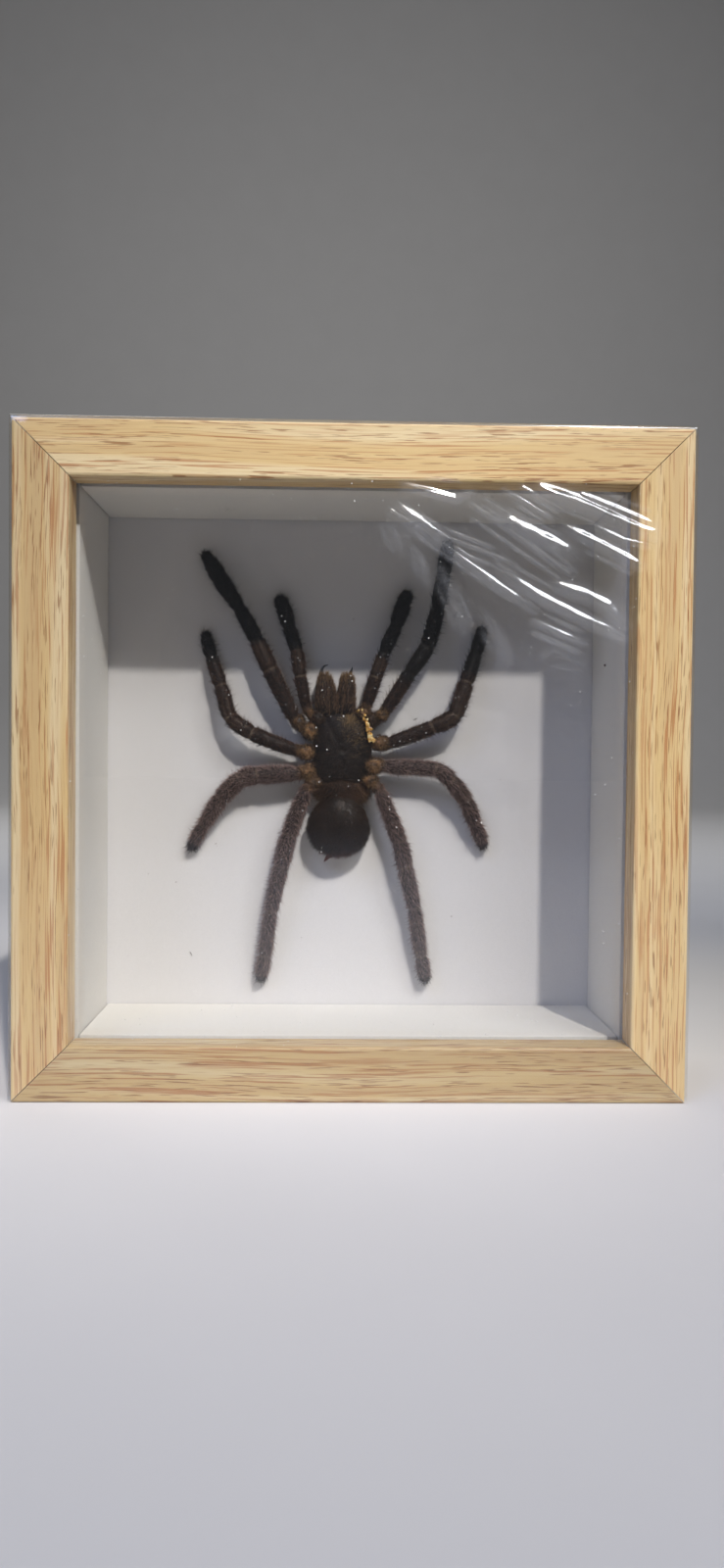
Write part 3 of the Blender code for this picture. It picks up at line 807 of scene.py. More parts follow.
BRISTLE_SIZES = {  # name of the input: kind of socket, default
    "Density": ("NodeSocketFloat", 1.0),
    "Length": ("NodeSocketFloat", 0.001),
    "Shortest": ("NodeSocketFloat", 0.5),
    "Width": ("NodeSocketFloat", 0.0001),
    "Bend": ("NodeSocketFloat", 0.2),
    "Lean": ("NodeSocketFloat", 0.6),
    "Spread": ("NodeSocketFloat", 0.2),
    "Steps": ("NodeSocketInt", 1),
    "Seed": ("NodeSocketInt", 0),
    "Cover": ("NodeSocketString", "cover"),
    "Material": ("NodeSocketMaterial", None),
}


def bristle_tree():
    """Grows bent, tapering bristles on a skin, leaning along its attribute lie where its cover says."""
    tree = bpy.data.node_groups.new("bristles", "GeometryNodeTree")
    tree.interface.new_socket("Skin", in_out="INPUT", socket_type="NodeSocketGeometry")
    for name, (kind, default) in BRISTLE_SIZES.items():
        socket = tree.interface.new_socket(name, in_out="INPUT", socket_type=kind)
        if default is not None:
            socket.default_value = default
    tree.interface.new_socket("Bristles", in_out="OUTPUT", socket_type="NodeSocketGeometry")
    given = add_node(tree, "NodeGroupInput").outputs

    def maths(operation, *values):
        return add_node(tree, "ShaderNodeMath", dict(enumerate(values)), operation=operation).outputs[0]

    def vectors(operation, first, second=None, scale=None):
        inputs = {0: first}
        if second is not None:
            inputs[1] = second
        if scale is not None:
            inputs["Scale"] = scale
        return add_node(tree, "ShaderNodeVectorMath", inputs, operation=operation).outputs[0]

    cover = add_node(tree, "GeometryNodeInputNamedAttribute", {"Name": given["Cover"]}, data_type="FLOAT")
    roots = add_node(
        tree, "GeometryNodeDistributePointsOnFaces",
        {"Mesh": given["Skin"], "Density": maths("MULTIPLY", given["Density"], cover.outputs[0]),
         "Seed": given["Seed"]}
    )
    lie = add_node(tree, "GeometryNodeInputNamedAttribute", {"Name": "lie"}, data_type="FLOAT_VECTOR")
    upright = vectors("SCALE", roots.outputs["Normal"], scale=maths("SUBTRACT", 1.0, given["Lean"]))
    leaning = vectors("SCALE", lie.outputs[0], scale=given["Lean"])
    stray = add_node(
        tree, "FunctionNodeRandomValue", {"Min": (-1, -1, -1), "Max": (1, 1, 1), "Seed": given["Seed"]},
        data_type="FLOAT_VECTOR"
    ).outputs[0]
    direction = vectors("ADD", vectors("ADD", upright, leaning), vectors("SCALE", stray, scale=given["Spread"]))
    turn = add_node(tree, "FunctionNodeAlignRotationToVector", {"Vector": direction}, axis="Z")

    shaft = add_node(
        tree, "GeometryNodeMeshCone",
        {"Vertices": 3, "Side Segments": given["Steps"], "Radius Top": 0.0,
         "Radius Bottom": maths("MULTIPLY", given["Width"], 0.5), "Depth": given["Length"]}, fill_type="NGON"
    ).outputs["Mesh"]
    height = add_node(tree, "ShaderNodeSeparateXYZ", {0: add_node(tree, "GeometryNodeInputPosition").outputs[0]})
    share = maths("DIVIDE", height.outputs["Z"], given["Length"])
    sweep = maths("MULTIPLY", maths("MULTIPLY", maths("POWER", share, 2.0), given["Length"]), given["Bend"])
    bent = add_node(
        tree, "GeometryNodeSetPosition",
        {"Geometry": shaft, "Offset": add_node(tree, "ShaderNodeCombineXYZ", {"X": sweep}).outputs[0]}
    ).outputs[0]
    bristle = add_node(
        tree, "GeometryNodeStoreNamedAttribute", {"Geometry": bent, "Name": "tip", "Value": share},
        data_type="FLOAT", domain="POINT"
    ).outputs[0]

    size = add_node(
        tree, "FunctionNodeRandomValue", {2: given["Shortest"], 3: 1.0, "Seed": maths("ADD", given["Seed"], 7)},
        data_type="FLOAT"
    ).outputs[1]
    scale = add_node(tree, "ShaderNodeCombineXYZ", {"X": 1.0, "Y": 1.0, "Z": size}).outputs[0]
    placed = add_node(
        tree, "GeometryNodeInstanceOnPoints",
        {"Points": roots.outputs["Points"], "Instance": bristle, "Rotation": turn.outputs[0], "Scale": scale}
    ).outputs[0]
    shade = add_node(
        tree, "FunctionNodeRandomValue", {2: 0.0, 3: 1.0, "Seed": maths("ADD", given["Seed"], 19)},
        data_type="FLOAT"
    ).outputs[1]
    shaded = add_node(
        tree, "GeometryNodeStoreNamedAttribute", {"Geometry": placed, "Name": "shade", "Value": shade},
        data_type="FLOAT", domain="INSTANCE"
    ).outputs[0]
    real = add_node(tree, "GeometryNodeRealizeInstances", {"Geometry": shaded}).outputs[0]
    smooth = add_node(tree, "GeometryNodeSetShadeSmooth", {"Geometry": real}).outputs[0]
    finished = add_node(
        tree, "GeometryNodeSetMaterial", {"Geometry": smooth, "Material": given["Material"]}
    ).outputs[0]
    add_node(tree, "NodeGroupOutput", {0: finished})
    return tree


def socket_identifiers(tree):
    return {
        item.name: item.identifier
        for item in tree.interface.items_tree
        if item.item_type == "SOCKET" and item.in_out == "INPUT"
    }


def grow_bristles(name, skin, material, slot, per_mm2, length, width, **sizes):
    """A plain mesh of the bristles on a skin; lengths in millimetres."""
    tree = bpy.data.node_groups.get("bristles") or bristle_tree()
    carrier = bpy.data.objects.new(name + "_carrier", skin.data)
    bpy.context.scene.collection.objects.link(carrier)
    modifier = carrier.modifiers.new("Bristles", "NODES")
    modifier.node_group = tree
    identifiers = socket_identifiers(tree)
    modifier[identifiers["Density"]] = per_mm2 / MM**2
    modifier[identifiers["Length"]] = length * MM
    modifier[identifiers["Width"]] = width * MM
    modifier[identifiers["Material"]] = material
    for label, value in sizes.items():
        modifier[identifiers[label.title()]] = value
    bpy.context.view_layer.update()
    graph = bpy.context.evaluated_depsgraph_get()
    mesh = bpy.data.meshes.new_from_object(
        carrier.evaluated_get(graph), preserve_all_data_layers=True, depsgraph=graph
    )
    mesh.name = name
    bpy.data.objects.remove(carrier, do_unlink=True)
    return piece_named(name, mesh, material)


# ---------------------------------------------------------------- the spider's skins


def lobe_mesh(name, place, shape, across=56, along=40):
    """A rounded body: shape moves each point (x, y, z) of a unit sphere whose poles are its two ends."""
    (x, z), height, (half_x, half_z, half_y) = place[:3]
    ball = bmesh.new()
    bmesh.ops.create_uvsphere(ball, u_segments=across, v_segments=along, radius=1.0)
    units = [v.co.copy() for v in ball.verts]
    for vertex in ball.verts:
        moved = shape(vertex.co)
        vertex.co = Vector((moved.x * half_x, moved.y * half_y, moved.z * half_z)) * MM
    ball.transform(Matrix.Translation(above_card(x, z, height)))
    bmesh.ops.recalc_face_normals(ball, faces=ball.faces)
    mesh = bpy.data.meshes.new(name)
    ball.to_mesh(mesh)
    ball.free()
    mesh.shade_smooth()
    return mesh, np.array(units)


def carapace_shape(unit):
    """The back shield: a squarish oval, a raised head, a cross pit and furrows that fan out from it."""
    power = CARAPACE_SQUARENESS
    x, y, z = unit
    across, along = abs(x), abs(z)
    stretch = 1.0
    if across + along > 0:
        stretch = math.hypot(across, along) / (across**power + along**power) ** (1 / power)
    flat = Vector((x * stretch, 0, z * stretch))
    flat.x *= 1 - 0.04 * z - 0.07 * z * z
    rho = min(1.0, math.hypot(x, z))
    if y >= 0:
        return Vector((flat.x * 0.96, y * 0.75, flat.z * 0.96))
    pit_x, pit_z = x, z + 0.02
    turn = math.atan2(pit_x, pit_z)
    out = math.hypot(pit_x, pit_z)
    dome = (1 - rho**2.6) ** 0.62 * 0.86
    head = math.exp(-((x / 0.42) ** 2) - ((z - 0.62) / 0.42) ** 2) * 0.14
    pit = math.exp(-((pit_x / 0.12) ** 2) - (pit_z / 0.05) ** 2) * 0.16
    fade = max(0.0, min(1.0, (out - 0.12) / 0.25)) * max(0.0, min(1.0, (1.02 - rho) / 0.25))
    furrows = 0.0
    for angle, depth in ((0.62, 0.07), (1.25, 0.045), (1.80, 0.045), (2.35, 0.04), (math.pi, 0.02)):
        for side in (-1, 1):
            apart = math.remainder(turn - side * angle, 2 * math.pi) * out
            furrows += depth * math.exp(-((apart / 0.075) ** 2))
    fine = 0.025 * noise.noise(Vector((x * 7, z * 7, 3.1))) + 0.012 * noise.noise(Vector((x * 19, z * 19, 7.7)))
    lift = dome + head - pit - furrows * fade + fine
    margin = 1 + 0.015 * math.exp(-((rho - 1) / 0.06) ** 2)
    return Vector((flat.x * margin, -max(0.02, lift), flat.z * margin))


def abdomen_shape(unit):
    """A shrunken egg: widest behind its middle, puckered at the front and dented where it dried."""
    x, y, z = unit
    wide = 1 + 0.05 * math.sin(-2.2 * z)
    fold = 0.035 * noise.noise(Vector((x * 2.3, y * 2.3, z * 2.3 + 4.2)))
    pucker = 0.02 * noise.noise(Vector((x * 7.0, y * 7.0, z * 4.0)))
    reach = 0.92 + fold + pucker
    return Vector((x * reach * wide, y * reach, z * reach))


def chelicera_shape(unit, narrowing, lean, groove):
    """One jaw: a blunt squarish wedge with a lengthwise groove and fine ribs that run to the fang."""
    x, y, z = unit
    across, deep = abs(x), abs(z)
    power = 3.4
    stretch = 1.0
    if across + deep > 0:
        stretch = math.hypot(across, deep) / (across**power + deep**power) ** (1 / power)
    ribs = 1 - 0.04 * (0.5 + 0.5 * math.cos(13 * math.atan2(x, -y))) * (1 - z * z)
    furrow = 1 - 0.42 * math.exp(-(((x - groove - 0.1 * z) / 0.11) ** 2)) * (y < 0)
    wide = 1 - narrowing * z
    return Vector((x * stretch * 0.95 * wide * ribs + lean * z * 0.4, y * 0.95 * ribs * furrow, z * stretch * 0.95))


def body_attributes(mesh, lies, **values):
    """Stores the hair's direction, and the attributes that the cuticle and the hair read, 0 unless given."""
    given = {"cover": 1.0, "bald": 0.0, "black": 0.0, "ring": 0.0, "stripe": 0.0} | values
    set_attribute(mesh, "lie", lies, "FLOAT_VECTOR")
    for name, share in given.items():
        set_attribute(mesh, name, np.broadcast_to(share, len(mesh.vertices)).copy())


def directions(units, backwards, sideways=0.5):
    """Unit vectors that run along the body and fan outwards."""
    lies = np.stack([units[:, 0] * sideways, units[:, 1] * 0.2, np.full(len(units), -1.0 if backwards else 1.0)], 1)
    return lies / np.linalg.norm(lies, axis=1)[:, None]


# ---------------------------------------------------------------- settings that a user would change


class FrameSettings(bpy.types.PropertyGroup):
    foil_colour: bpy.props.StringProperty(
        name="Foil", description="Main colour of the oak foil, as sRGB hex", default="#E0C187")
    foil_light: bpy.props.StringProperty(
        name="Light bands", description="Colour of the foil's lightest bands", default="#EAD3A4")
    foil_dark: bpy.props.StringProperty(
        name="Dark bands", description="Colour of the foil's darkest bands", default="#D8B882")
    streak_colour: bpy.props.StringProperty(
        name="Streaks", description="Colour of the orange-brown streaks in the grain", default="#B5713A")
    pore_colour: bpy.props.StringProperty(
        name="Pores", description="Colour of the short dark pores", default="#8E5522")
    liner_colour: bpy.props.StringProperty(
        name="Liner", description="Colour of the white board along the walls", default="#DEDAD2")
    card_colour: bpy.props.StringProperty(
        name="Card", description="Colour of the card behind the spider", default="#D2CFCD")


class FilmSettings(bpy.types.PropertyGroup):
    skirt: bpy.props.FloatProperty(
        name="Skirt", description="How far the film runs back along the sides", default=0.042, unit="LENGTH")
    corner: bpy.props.FloatProperty(
        name="Corner radius", description="Radius of the film's folds over the rails", default=0.0007,
        unit="LENGTH")
    wrinkle_height: bpy.props.FloatProperty(
        name="Wrinkle height", description="How far a wrinkle of full strength stands proud", default=0.00047,
        unit="LENGTH")
    mesh_step: bpy.props.FloatProperty(
        name="Mesh step", description="Spacing of the film's mesh where it is wrinkled", default=0.0003,
        unit="LENGTH")
    specks: bpy.props.IntProperty(
        name="Dust specks", description="Number of specks on the film", default=1300, min=0)


class SpiderSettings(bpy.types.PropertyGroup):
    hair_per_mm2: bpy.props.FloatProperty(
        name="Hair density", description="Short hairs on each square millimetre", default=9.0, min=0.0)
    hair_length: bpy.props.FloatProperty(
        name="Hair length", description="Length of the short hair on the legs", default=0.0010, unit="LENGTH")
    hair_width: bpy.props.FloatProperty(
        name="Hair width", description="Width of a hair at its root, coarse enough to show", default=0.00011,
        unit="LENGTH")
    seed: bpy.props.IntProperty(name="Seed", description="Start of every random draw", default=11)


class StageSettings(bpy.types.PropertyGroup):
    lens: bpy.props.FloatProperty(
        name="Lens", description="Focal length on a sensor 36 mm long", default=24.75, min=5.0)
    key_power: bpy.props.FloatProperty(
        name="Key light", description="Light that the key throws on the frame, in W per square metre", default=4.6, min=0.0)
    fill: bpy.props.FloatProperty(
        name="Fill light", description="Brightness of the surroundings", default=0.075, min=0.0)


# ---------------------------------------------------------------- operators


class SPECIMEN_OT_stage(bpy.types.Operator):
    """Set up the floor, the soft lights and the camera"""
    bl_idname = "specimen.stage"
    bl_label = "Stage"

    def execute(self, context):
        settings = context.scene.specimen_stage
        scene = context.scene
        scene.view_settings.view_transform = "Standard"
        self.add_sweep(scene)
        self.add_lights(scene, settings)
        self.add_camera(scene, settings)
        return {"FINISHED"}

    def add_sweep(self, scene):
        """A pale paper sweep: flat floor in front, curving up well behind the frame."""
        half_width, front, bend, radius, top = 6.0, -3.5, 1.4, 0.7, 4.0
        profile = [(front, 0.0), (bend, 0.0)]
        profile += [
            (bend + radius * math.sin(a), radius * (1 - math.cos(a)))
            for a in (math.radians(9 * k) for k in range(1, 11))
        ]
        profile.append((bend + radius, top))
        points = [(x, y, z) for y, z in profile for x in (-half_width, half_width)]
        faces = [(2 * k, 2 * k + 1, 2 * k + 3, 2 * k + 2) for k in range(len(profile) - 1)]
        mesh = bpy.data.meshes.new("paper_sweep")
        mesh.from_pydata(points, [], faces)
        mesh.shade_smooth()
        material, tree, shader = new_material("sweep_paper", roughness=0.9)
        cloud = add_node(
            tree, "ShaderNodeTexNoise", {"Vector": object_position(tree), "Scale": 1 / 60, "Detail": 3.0}
        ).outputs["Fac"]
        tree.links.new(blend_colours(tree, cloud, "#CDCBC9", "#D2D0CE"), shader.inputs["Base Color"])
        mesh.materials.append(material)
        sweep = bpy.data.objects.new("paper_sweep", mesh)
        scene.collection.objects.link(sweep)
        sweep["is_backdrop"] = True

    def add_lights(self, scene, settings):
        """A far spot as the key, soft boxes on both sides and behind, and pale surroundings as the fill."""
        world = bpy.data.worlds.new("studio")
        world.use_nodes = True
        backdrop = world.node_tree.nodes["Background"]
        backdrop.inputs["Color"].default_value = linear("#E4E8F2")
        backdrop.inputs["Strength"].default_value = settings.fill
        scene.world = world

        key = bpy.data.lights.new("key", "SPOT")
        distance, pool = 6.0, 0.125
        key.energy = settings.key_power * 4 * math.pi * distance**2
        key.shadow_soft_size = 0.136
        key.spot_size = 2 * math.atan(pool / distance)
        key.spot_blend = 0.25
        key.color = linear("#FFFAF6")[:3]
        key_object = bpy.data.objects.new("key", key)
        towards_frame = Vector((-0.33, 1.0, -0.96)).normalized()
        key_object.location = Vector((0.0, FRAME_FRONT, 0.078)) - towards_frame * distance
        key_object.rotation_euler = towards_frame.to_track_quat("-Z", "Y").to_euler()
        scene.collection.objects.link(key_object)

        soft = bpy.data.lights.new("soft_box", "AREA")
        soft.shape = "RECTANGLE"
        soft.size, soft.size_y = 0.55, 0.20
        soft.energy = 1.25
        soft.spread = math.radians(80)
        soft.color = linear("#F5F8FF")[:3]
        soft_object = bpy.data.objects.new("soft_box", soft)
        middle = Vector((0.02, FRAME_FRONT, 0.11))
        soft_object.location = middle + Vector((0.50, -0.57, 0.65)).normalized() * 1.1
        facing = (middle - soft_object.location).to_track_quat("-Z", "Y")
        soft_object.rotation_euler = (facing @ Quaternion((0, 0, 1), math.radians(-36))).to_euler()
        scene.collection.objects.link(soft_object)

        fill = bpy.data.lights.new("fill_box", "AREA")
        fill.size = 0.6
        fill.energy = 1.2
        fill.spread = math.radians(80)
        fill.color = linear("#BFD0FF")[:3]
        fill_object = bpy.data.objects.new("fill_box", fill)
        fill_object.location = middle + Vector((-0.50, -0.60, 0.62)) * 1.3
        fill_object.rotation_euler = (middle - fill_object.location).to_track_quat("-Z", "Y").to_euler()
        scene.collection.objects.link(fill_object)

        back = bpy.data.lights.new("back_box", "AREA")
        back.size = 0.8
        back.energy = 4.0
        back_object = bpy.data.objects.new("back_box", back)
        back_object.location = (-0.55, 0.95, 1.15)
        back_object.rotation_euler = (middle - back_object.location).to_track_quat("-Z", "Y").to_euler()
        scene.collection.objects.link(back_object)

        wall = bpy.data.lights.new("backdrop_box", "AREA")
        wall.size = 1.2
        wall.energy = 7.0
        wall_object = bpy.data.objects.new("backdrop_box", wall)
        wall_object.location = (0.0, 0.45, 1.0)
        wall_object.rotation_euler = Vector((0.0, 1.65, -0.4)).to_track_quat("-Z", "Y").to_euler()
        scene.collection.objects.link(wall_object)

    def add_camera(self, scene, settings):
        data = bpy.data.cameras.new("camera")
        data.sensor_width = 36.0
        data.lens = settings.lens
        data.clip_start = 0.01
        camera = bpy.data.objects.new("camera", data)
        scene.collection.objects.link(camera)
        camera.location = (-0.0042, -0.26125, 0.07685)
        tilt, roll, pan = math.radians(1.43), math.radians(0.57), math.radians(1.48)
        upright = Matrix.Rotation(math.radians(90), 4, "X")
        turned = (
            Matrix.Rotation(-pan, 4, "Z") @ Matrix.Rotation(-tilt, 4, "X") @ Matrix.Rotation(-roll, 4, "Y")
        )
        camera.rotation_euler = (turned @ upright).to_euler()
        scene.camera = camera


class SPECIMEN_OT_rails(bpy.types.Operator):
    """Finish the four mitred rails in oak foil"""
    bl_idname = "specimen.rails"
    bl_label = "Rails"

    def execute(self, context):
        settings = context.scene.specimen_frame
        # painted shade in the last colour: the bottom and left rails are darkened, the top and right keep the print's
        # colour
        rails = (("top", "X", "#FFFFFF"), ("right", "Z", "#FFFFFF"), ("bottom", "X", "#D4D3D0"), ("left", "Z", "#EFEEEE"))
        for k, (side, along, painted_shade) in enumerate(rails):
            finish_node(f"rail_{side}", oak_foil(f"oak_foil_{side}", along, painted_shade, 41.3 * k, settings))
        return {"FINISHED"}


class SPECIMEN_OT_box(bpy.types.Operator):
    """Finish the glass, the white liner boards and the card"""
    bl_idname = "specimen.box"
    bl_label = "Glass, liner and card"

    def execute(self, context):
        settings = context.scene.specimen_frame
        finish_node("glass_pane", float_glass(settings))
        liner = paper_board("liner_board", settings.liner_colour, "#D8D3C8", 0.82, 0.5, 1.9)
        for side in ("top", "right", "bottom", "left"):
            finish_node(f"liner_{side}", liner)
        finish_node("mount_card", paper_board("mount_card_paper", settings.card_colour, "#D2CDC9", 0.88, 0.35, 4.6))
        return {"FINISHED"}


class SPECIMEN_OT_back(bpy.types.Operator):
    """Finish the back board, its tabs and the hanger with its tacks"""
    bl_idname = "specimen.back"
    bl_label = "Back"

    def execute(self, context):
        finish_node("back_board", hardboard())
        zinc = plated_steel("zinc_plated_steel", "#C9CCD0", "#8E9298", 0.34)
        for side in ("top", "right", "bottom", "left"):
            finish_node(f"tab_{side}", zinc)
        brass = plated_steel("brass_plated_steel", "#D8B46A", "#A47E3C", 0.32)
        for node in ("sawtooth_hanger", "tack_left", "tack_right"):
            finish_node(node, brass)
        return {"FINISHED"}


# Wrinkles in the film: strength, half width in millimetres, and the points (x, z) that each runs through
WRINKLES = (
    (1.10, 0.75, ((10.5, 136.2), (16.5, 134.9), (22.0, 133.5), (25.0, 134.8))),
    (1.15, 0.85, ((7.5, 130.6), (15.0, 126.5), (23.0, 120.7), (31.0, 115.0), (39.5, 109.6))),
    (1.05, 0.95, ((9.5, 131.6), (15.0, 128.0), (21.0, 123.8))),
    (1.10, 1.10, ((31.5, 118.7), (36.0, 115.2), (40.5, 112.5), (50.0, 107.8), (59.0, 104.0))),
    (1.10, 0.65, ((39.4, 107.0), (45.0, 104.6), (50.5, 102.4))),
    (1.00, 0.60, ((25.0, 132.5), (33.0, 127.5), (40.0, 122.4), (48.0, 117.2))),
    (1.05, 0.40, ((28.0, 133.7), (38.0, 127.4), (48.5, 118.0))),
    (1.00, 1.50, ((33.5, 128.8), (40.0, 125.6), (47.5, 122.1))),
    (1.05, 0.50, ((32.2, 135.8), (38.0, 132.5), (43.1, 129.1))),
    (1.08, 0.70, ((36.3, 136.2), (45.0, 131.7))),
    (1.20, 1.50, ((40.5, 135.8), (48.0, 133.4), (55.0, 130.6), (62.5, 127.4), (65.5, 126.6))),
    (1.15, 0.80, ((49.5, 134.8), (57.0, 132.0), (65.5, 128.5))),
    (1.12, 1.10, ((46.5, 127.3), (54.0, 123.9), (62.5, 119.6))),
    (1.10, 0.70, ((51.5, 128.4), (54.8, 127.0), (59.0, 125.0), (64.5, 124.0))),
    (1.05, 1.30, ((44.5, 114.8), (50.0, 113.2), (55.5, 110.6), (59.0, 106.4))),
    (0.95, 0.40, ((17.5, 126.1), (27.0, 122.6), (35.3, 119.4))),
    (0.50, 0.90, ((7.3, 127.9), (8.8, 125.0), (10.2, 122.0))),
    (0.50, 0.90, ((12.5, 122.7), (14.6, 119.0), (16.1, 114.6))),
    (0.50, 1.00, ((18.4, 118.3), (21.5, 112.0), (24.2, 105.0))),
    (0.45, 1.00, ((28.7, 107.5), (31.5, 103.0), (33.6, 98.1))),
    (0.40, 0.60, ((41.2, 99.1), (43.9, 101.3), (50.3, 97.5))),
)
WRINKLED_LOW, WRINKLED_HIGH = (4.0, 96.0), (67.0, 139.0)  # corner of the film that they lie in: x, z


class SPECIMEN_OT_film(bpy.types.Operator):
    """Wrap the clear film over the front, with its wrinkles and its dust"""
    bl_idname = "specimen.film"
    bl_label = "Film"

    def execute(self, context):
        settings = context.scene.specimen_film
        film = self.add_film(settings)
        self.add_specks(film, settings)
        self.add_debris()
        return {"FINISHED"}

    def stations(self, low, high, fine_low, fine_high, settings, both_ends):
        """Places across the film as (coordinate, depth behind its front) pairs, over each folded end."""
        radius, skirt, step = settings.corner, settings.skirt, settings.mesh_step
        flat_low, flat_high = low + (radius if both_ends else 0), high - radius
        coarse = 4 * MM
        inner = [flat_low]
        while inner[-1] < flat_high - 1e-6:
            here = inner[-1]
            fine = fine_low <= here < fine_high
            ahead = here + (step if fine else coarse)
            if not fine and here < fine_low < ahead:
                ahead = fine_low
            inner.append(min(ahead, flat_high))
        line = [(c, 0.0) for c in inner]
        fold = [math.radians(a) for a in (22.5, 45.0, 67.5, 90.0)]
        back = [radius + (skirt - radius) * k / 10 for k in range(1, 11)]
        line += [(flat_high + radius * math.sin(a), radius * (1 - math.cos(a))) for a in fold]
        line += [(high, depth) for depth in back]
        if both_ends:
            start = [(low, depth) for depth in reversed(back)]
            start += [(flat_low - radius * math.sin(a), radius * (1 - math.cos(a))) for a in reversed(fold)]
            line = start + line
        return line

    def creases(self):
        """The wrinkles, each with two finer ones that run beside part of it."""
        draw = random.Random(21)
        for strength, half_width, path in WRINKLES:
            yield strength, half_width, path
            (ax, az), (bx, bz) = path[0], path[-1]
            length = math.dist(path[0], path[-1])
            across = (-(bz - az) / length, (bx - ax) / length)
            for side in (-1, 1):
                away = side * draw.uniform(1.1, 2.6)
                start, end = draw.uniform(0.0, 0.4), draw.uniform(0.6, 1.0)
                run = [(ax + (bx - ax) * t + across[0] * away, az + (bz - az) * t + across[1] * away)
                       for t in (start, end)]
                yield strength * draw.uniform(0.8, 1.1), draw.uniform(0.25, 0.5), run

    def wrinkle_height(self, x, z):
        """How proud the film stands, in full wrinkles, and how creased it is; x and z are arrays in millimetres."""
        height, crease = np.zeros_like(x), np.zeros_like(x)
        swell = 1 + 0.10 * np.sin(x * 0.9 + 1.3 * np.sin(z * 0.37)) * np.sin(z * 0.71 + 0.5)
        for strength, half_width, path in self.creases():
            lengths = [math.dist(a, b) for a, b in zip(path, path[1:])]
            nearest = np.full_like(x, 1e9)
            share = np.zeros_like(x)
            done = 0.0
            for (ax, az), (bx, bz), length in zip(path, path[1:], lengths):
                t = np.clip(((x - ax) * (bx - ax) + (z - az) * (bz - az)) / length**2, 0, 1)
                away = np.hypot(x - ax - t * (bx - ax), z - az - t * (bz - az))
                closer = away < nearest
                nearest = np.where(closer, away, nearest)
                share = np.where(closer, (done + t * length) / sum(lengths), share)
                done += length
            taper = np.sin(np.pi * (0.03 + 0.94 * share)) ** 0.25
            height = np.maximum(height, strength * half_width * taper * np.exp(-((nearest / half_width) ** 2)))
            crease = np.maximum(crease, min(strength, 0.8) * taper * np.exp(-((nearest / half_width / 1.5) ** 2)))
        return height * swell, crease

    def add_film(self, settings):
        low, high = FILM_LOW, FILM_HIGH
        front = low.y
        columns = self.stations(low.x, high.x, WRINKLED_LOW[0] * MM, WRINKLED_HIGH[0] * MM, settings, True)
        rows = self.stations(low.z, high.z, WRINKLED_LOW[1] * MM, WRINKLED_HIGH[1] * MM, settings, False)
        radius = settings.corner + 1e-7
        x = np.array([[c for c, _ in columns]] * len(rows))
        z = np.array([[r] * len(columns) for r, _ in rows])
        depth = np.array([[max(dc, dr) for _, dc in columns] for _, dr in rows])
        proud, crease = self.wrinkle_height(x / MM, z / MM)
        proud *= settings.wrinkle_height * (depth == 0)
        sag = 0.05 * MM * np.sin(x / MM / 7.3) * np.sin(z / MM / 9.1 + 1.3) * (depth == 0)
        y = front + depth - proud - np.abs(sag)
        points = np.stack([x, y, z], -1).reshape(-1, 3)
        width = len(columns)
        faces = []
        for j in range(len(rows) - 1):
            for i in range(width - 1):
                side = max(columns[i][1], columns[i + 1][1])
                top = max(rows[j][1], rows[j + 1][1])
                if side > radius and top > radius:
                    continue
                a = j * width + i
                faces.append((a, a + 1, a + width + 1, a + width))
        mesh = bpy.data.meshes.new("shrink_wrap")
        mesh.from_pydata([tuple(p) for p in points], [], faces)
        set_attribute(mesh, "crease", crease * (depth == 0))
        shape = bmesh.new()
        shape.from_mesh(mesh)
        loose = [v for v in shape.verts if not v.link_faces]
        bmesh.ops.delete(shape, geom=loose, context="VERTS")
        bmesh.ops.remove_doubles(shape, verts=shape.verts, dist=1e-6)
        shape.to_mesh(mesh)
        shape.free()
        mesh.shade_smooth()
        film = piece_named("shrink_wrap", mesh, shrink_film())
        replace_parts(film, "wrap_film")
        return film

    def add_specks(self, film, settings):
        """Dust on the film: tiny flakes and a few short fibres."""
        draw = random.Random(5)
        shapes = []
        for _ in range(settings.specks):
            x = draw.uniform(OPENING_LOW.x, OPENING_HIGH.x)
            z = draw.uniform(OPENING_LOW.z, OPENING_HIGH.z)
            size = draw.choice((0.045, 0.055, 0.065, 0.08, 0.12)) * MM
            flake = bmesh.new()
            bmesh.ops.create_icosphere(flake, subdivisions=1, radius=size)
            stretch = (draw.uniform(0.7, 1.5), 0.35, draw.uniform(0.7, 1.5))
            place = Matrix.Translation((x, FILM_LOW.y - 0.08 * MM, z))
            flake.transform(place @ Matrix.Rotation(draw.uniform(0, 3), 4, "Y") @ Matrix.Diagonal((*stretch, 1)))
            mesh = bpy.data.meshes.new("flake")
            flake.to_mesh(mesh)
            flake.free()
            shapes.append(mesh)
        piece_named("film_dust", joined("film_dust", shapes), lint("white_lint", "#E8E6E2", "#B8B6B2"))


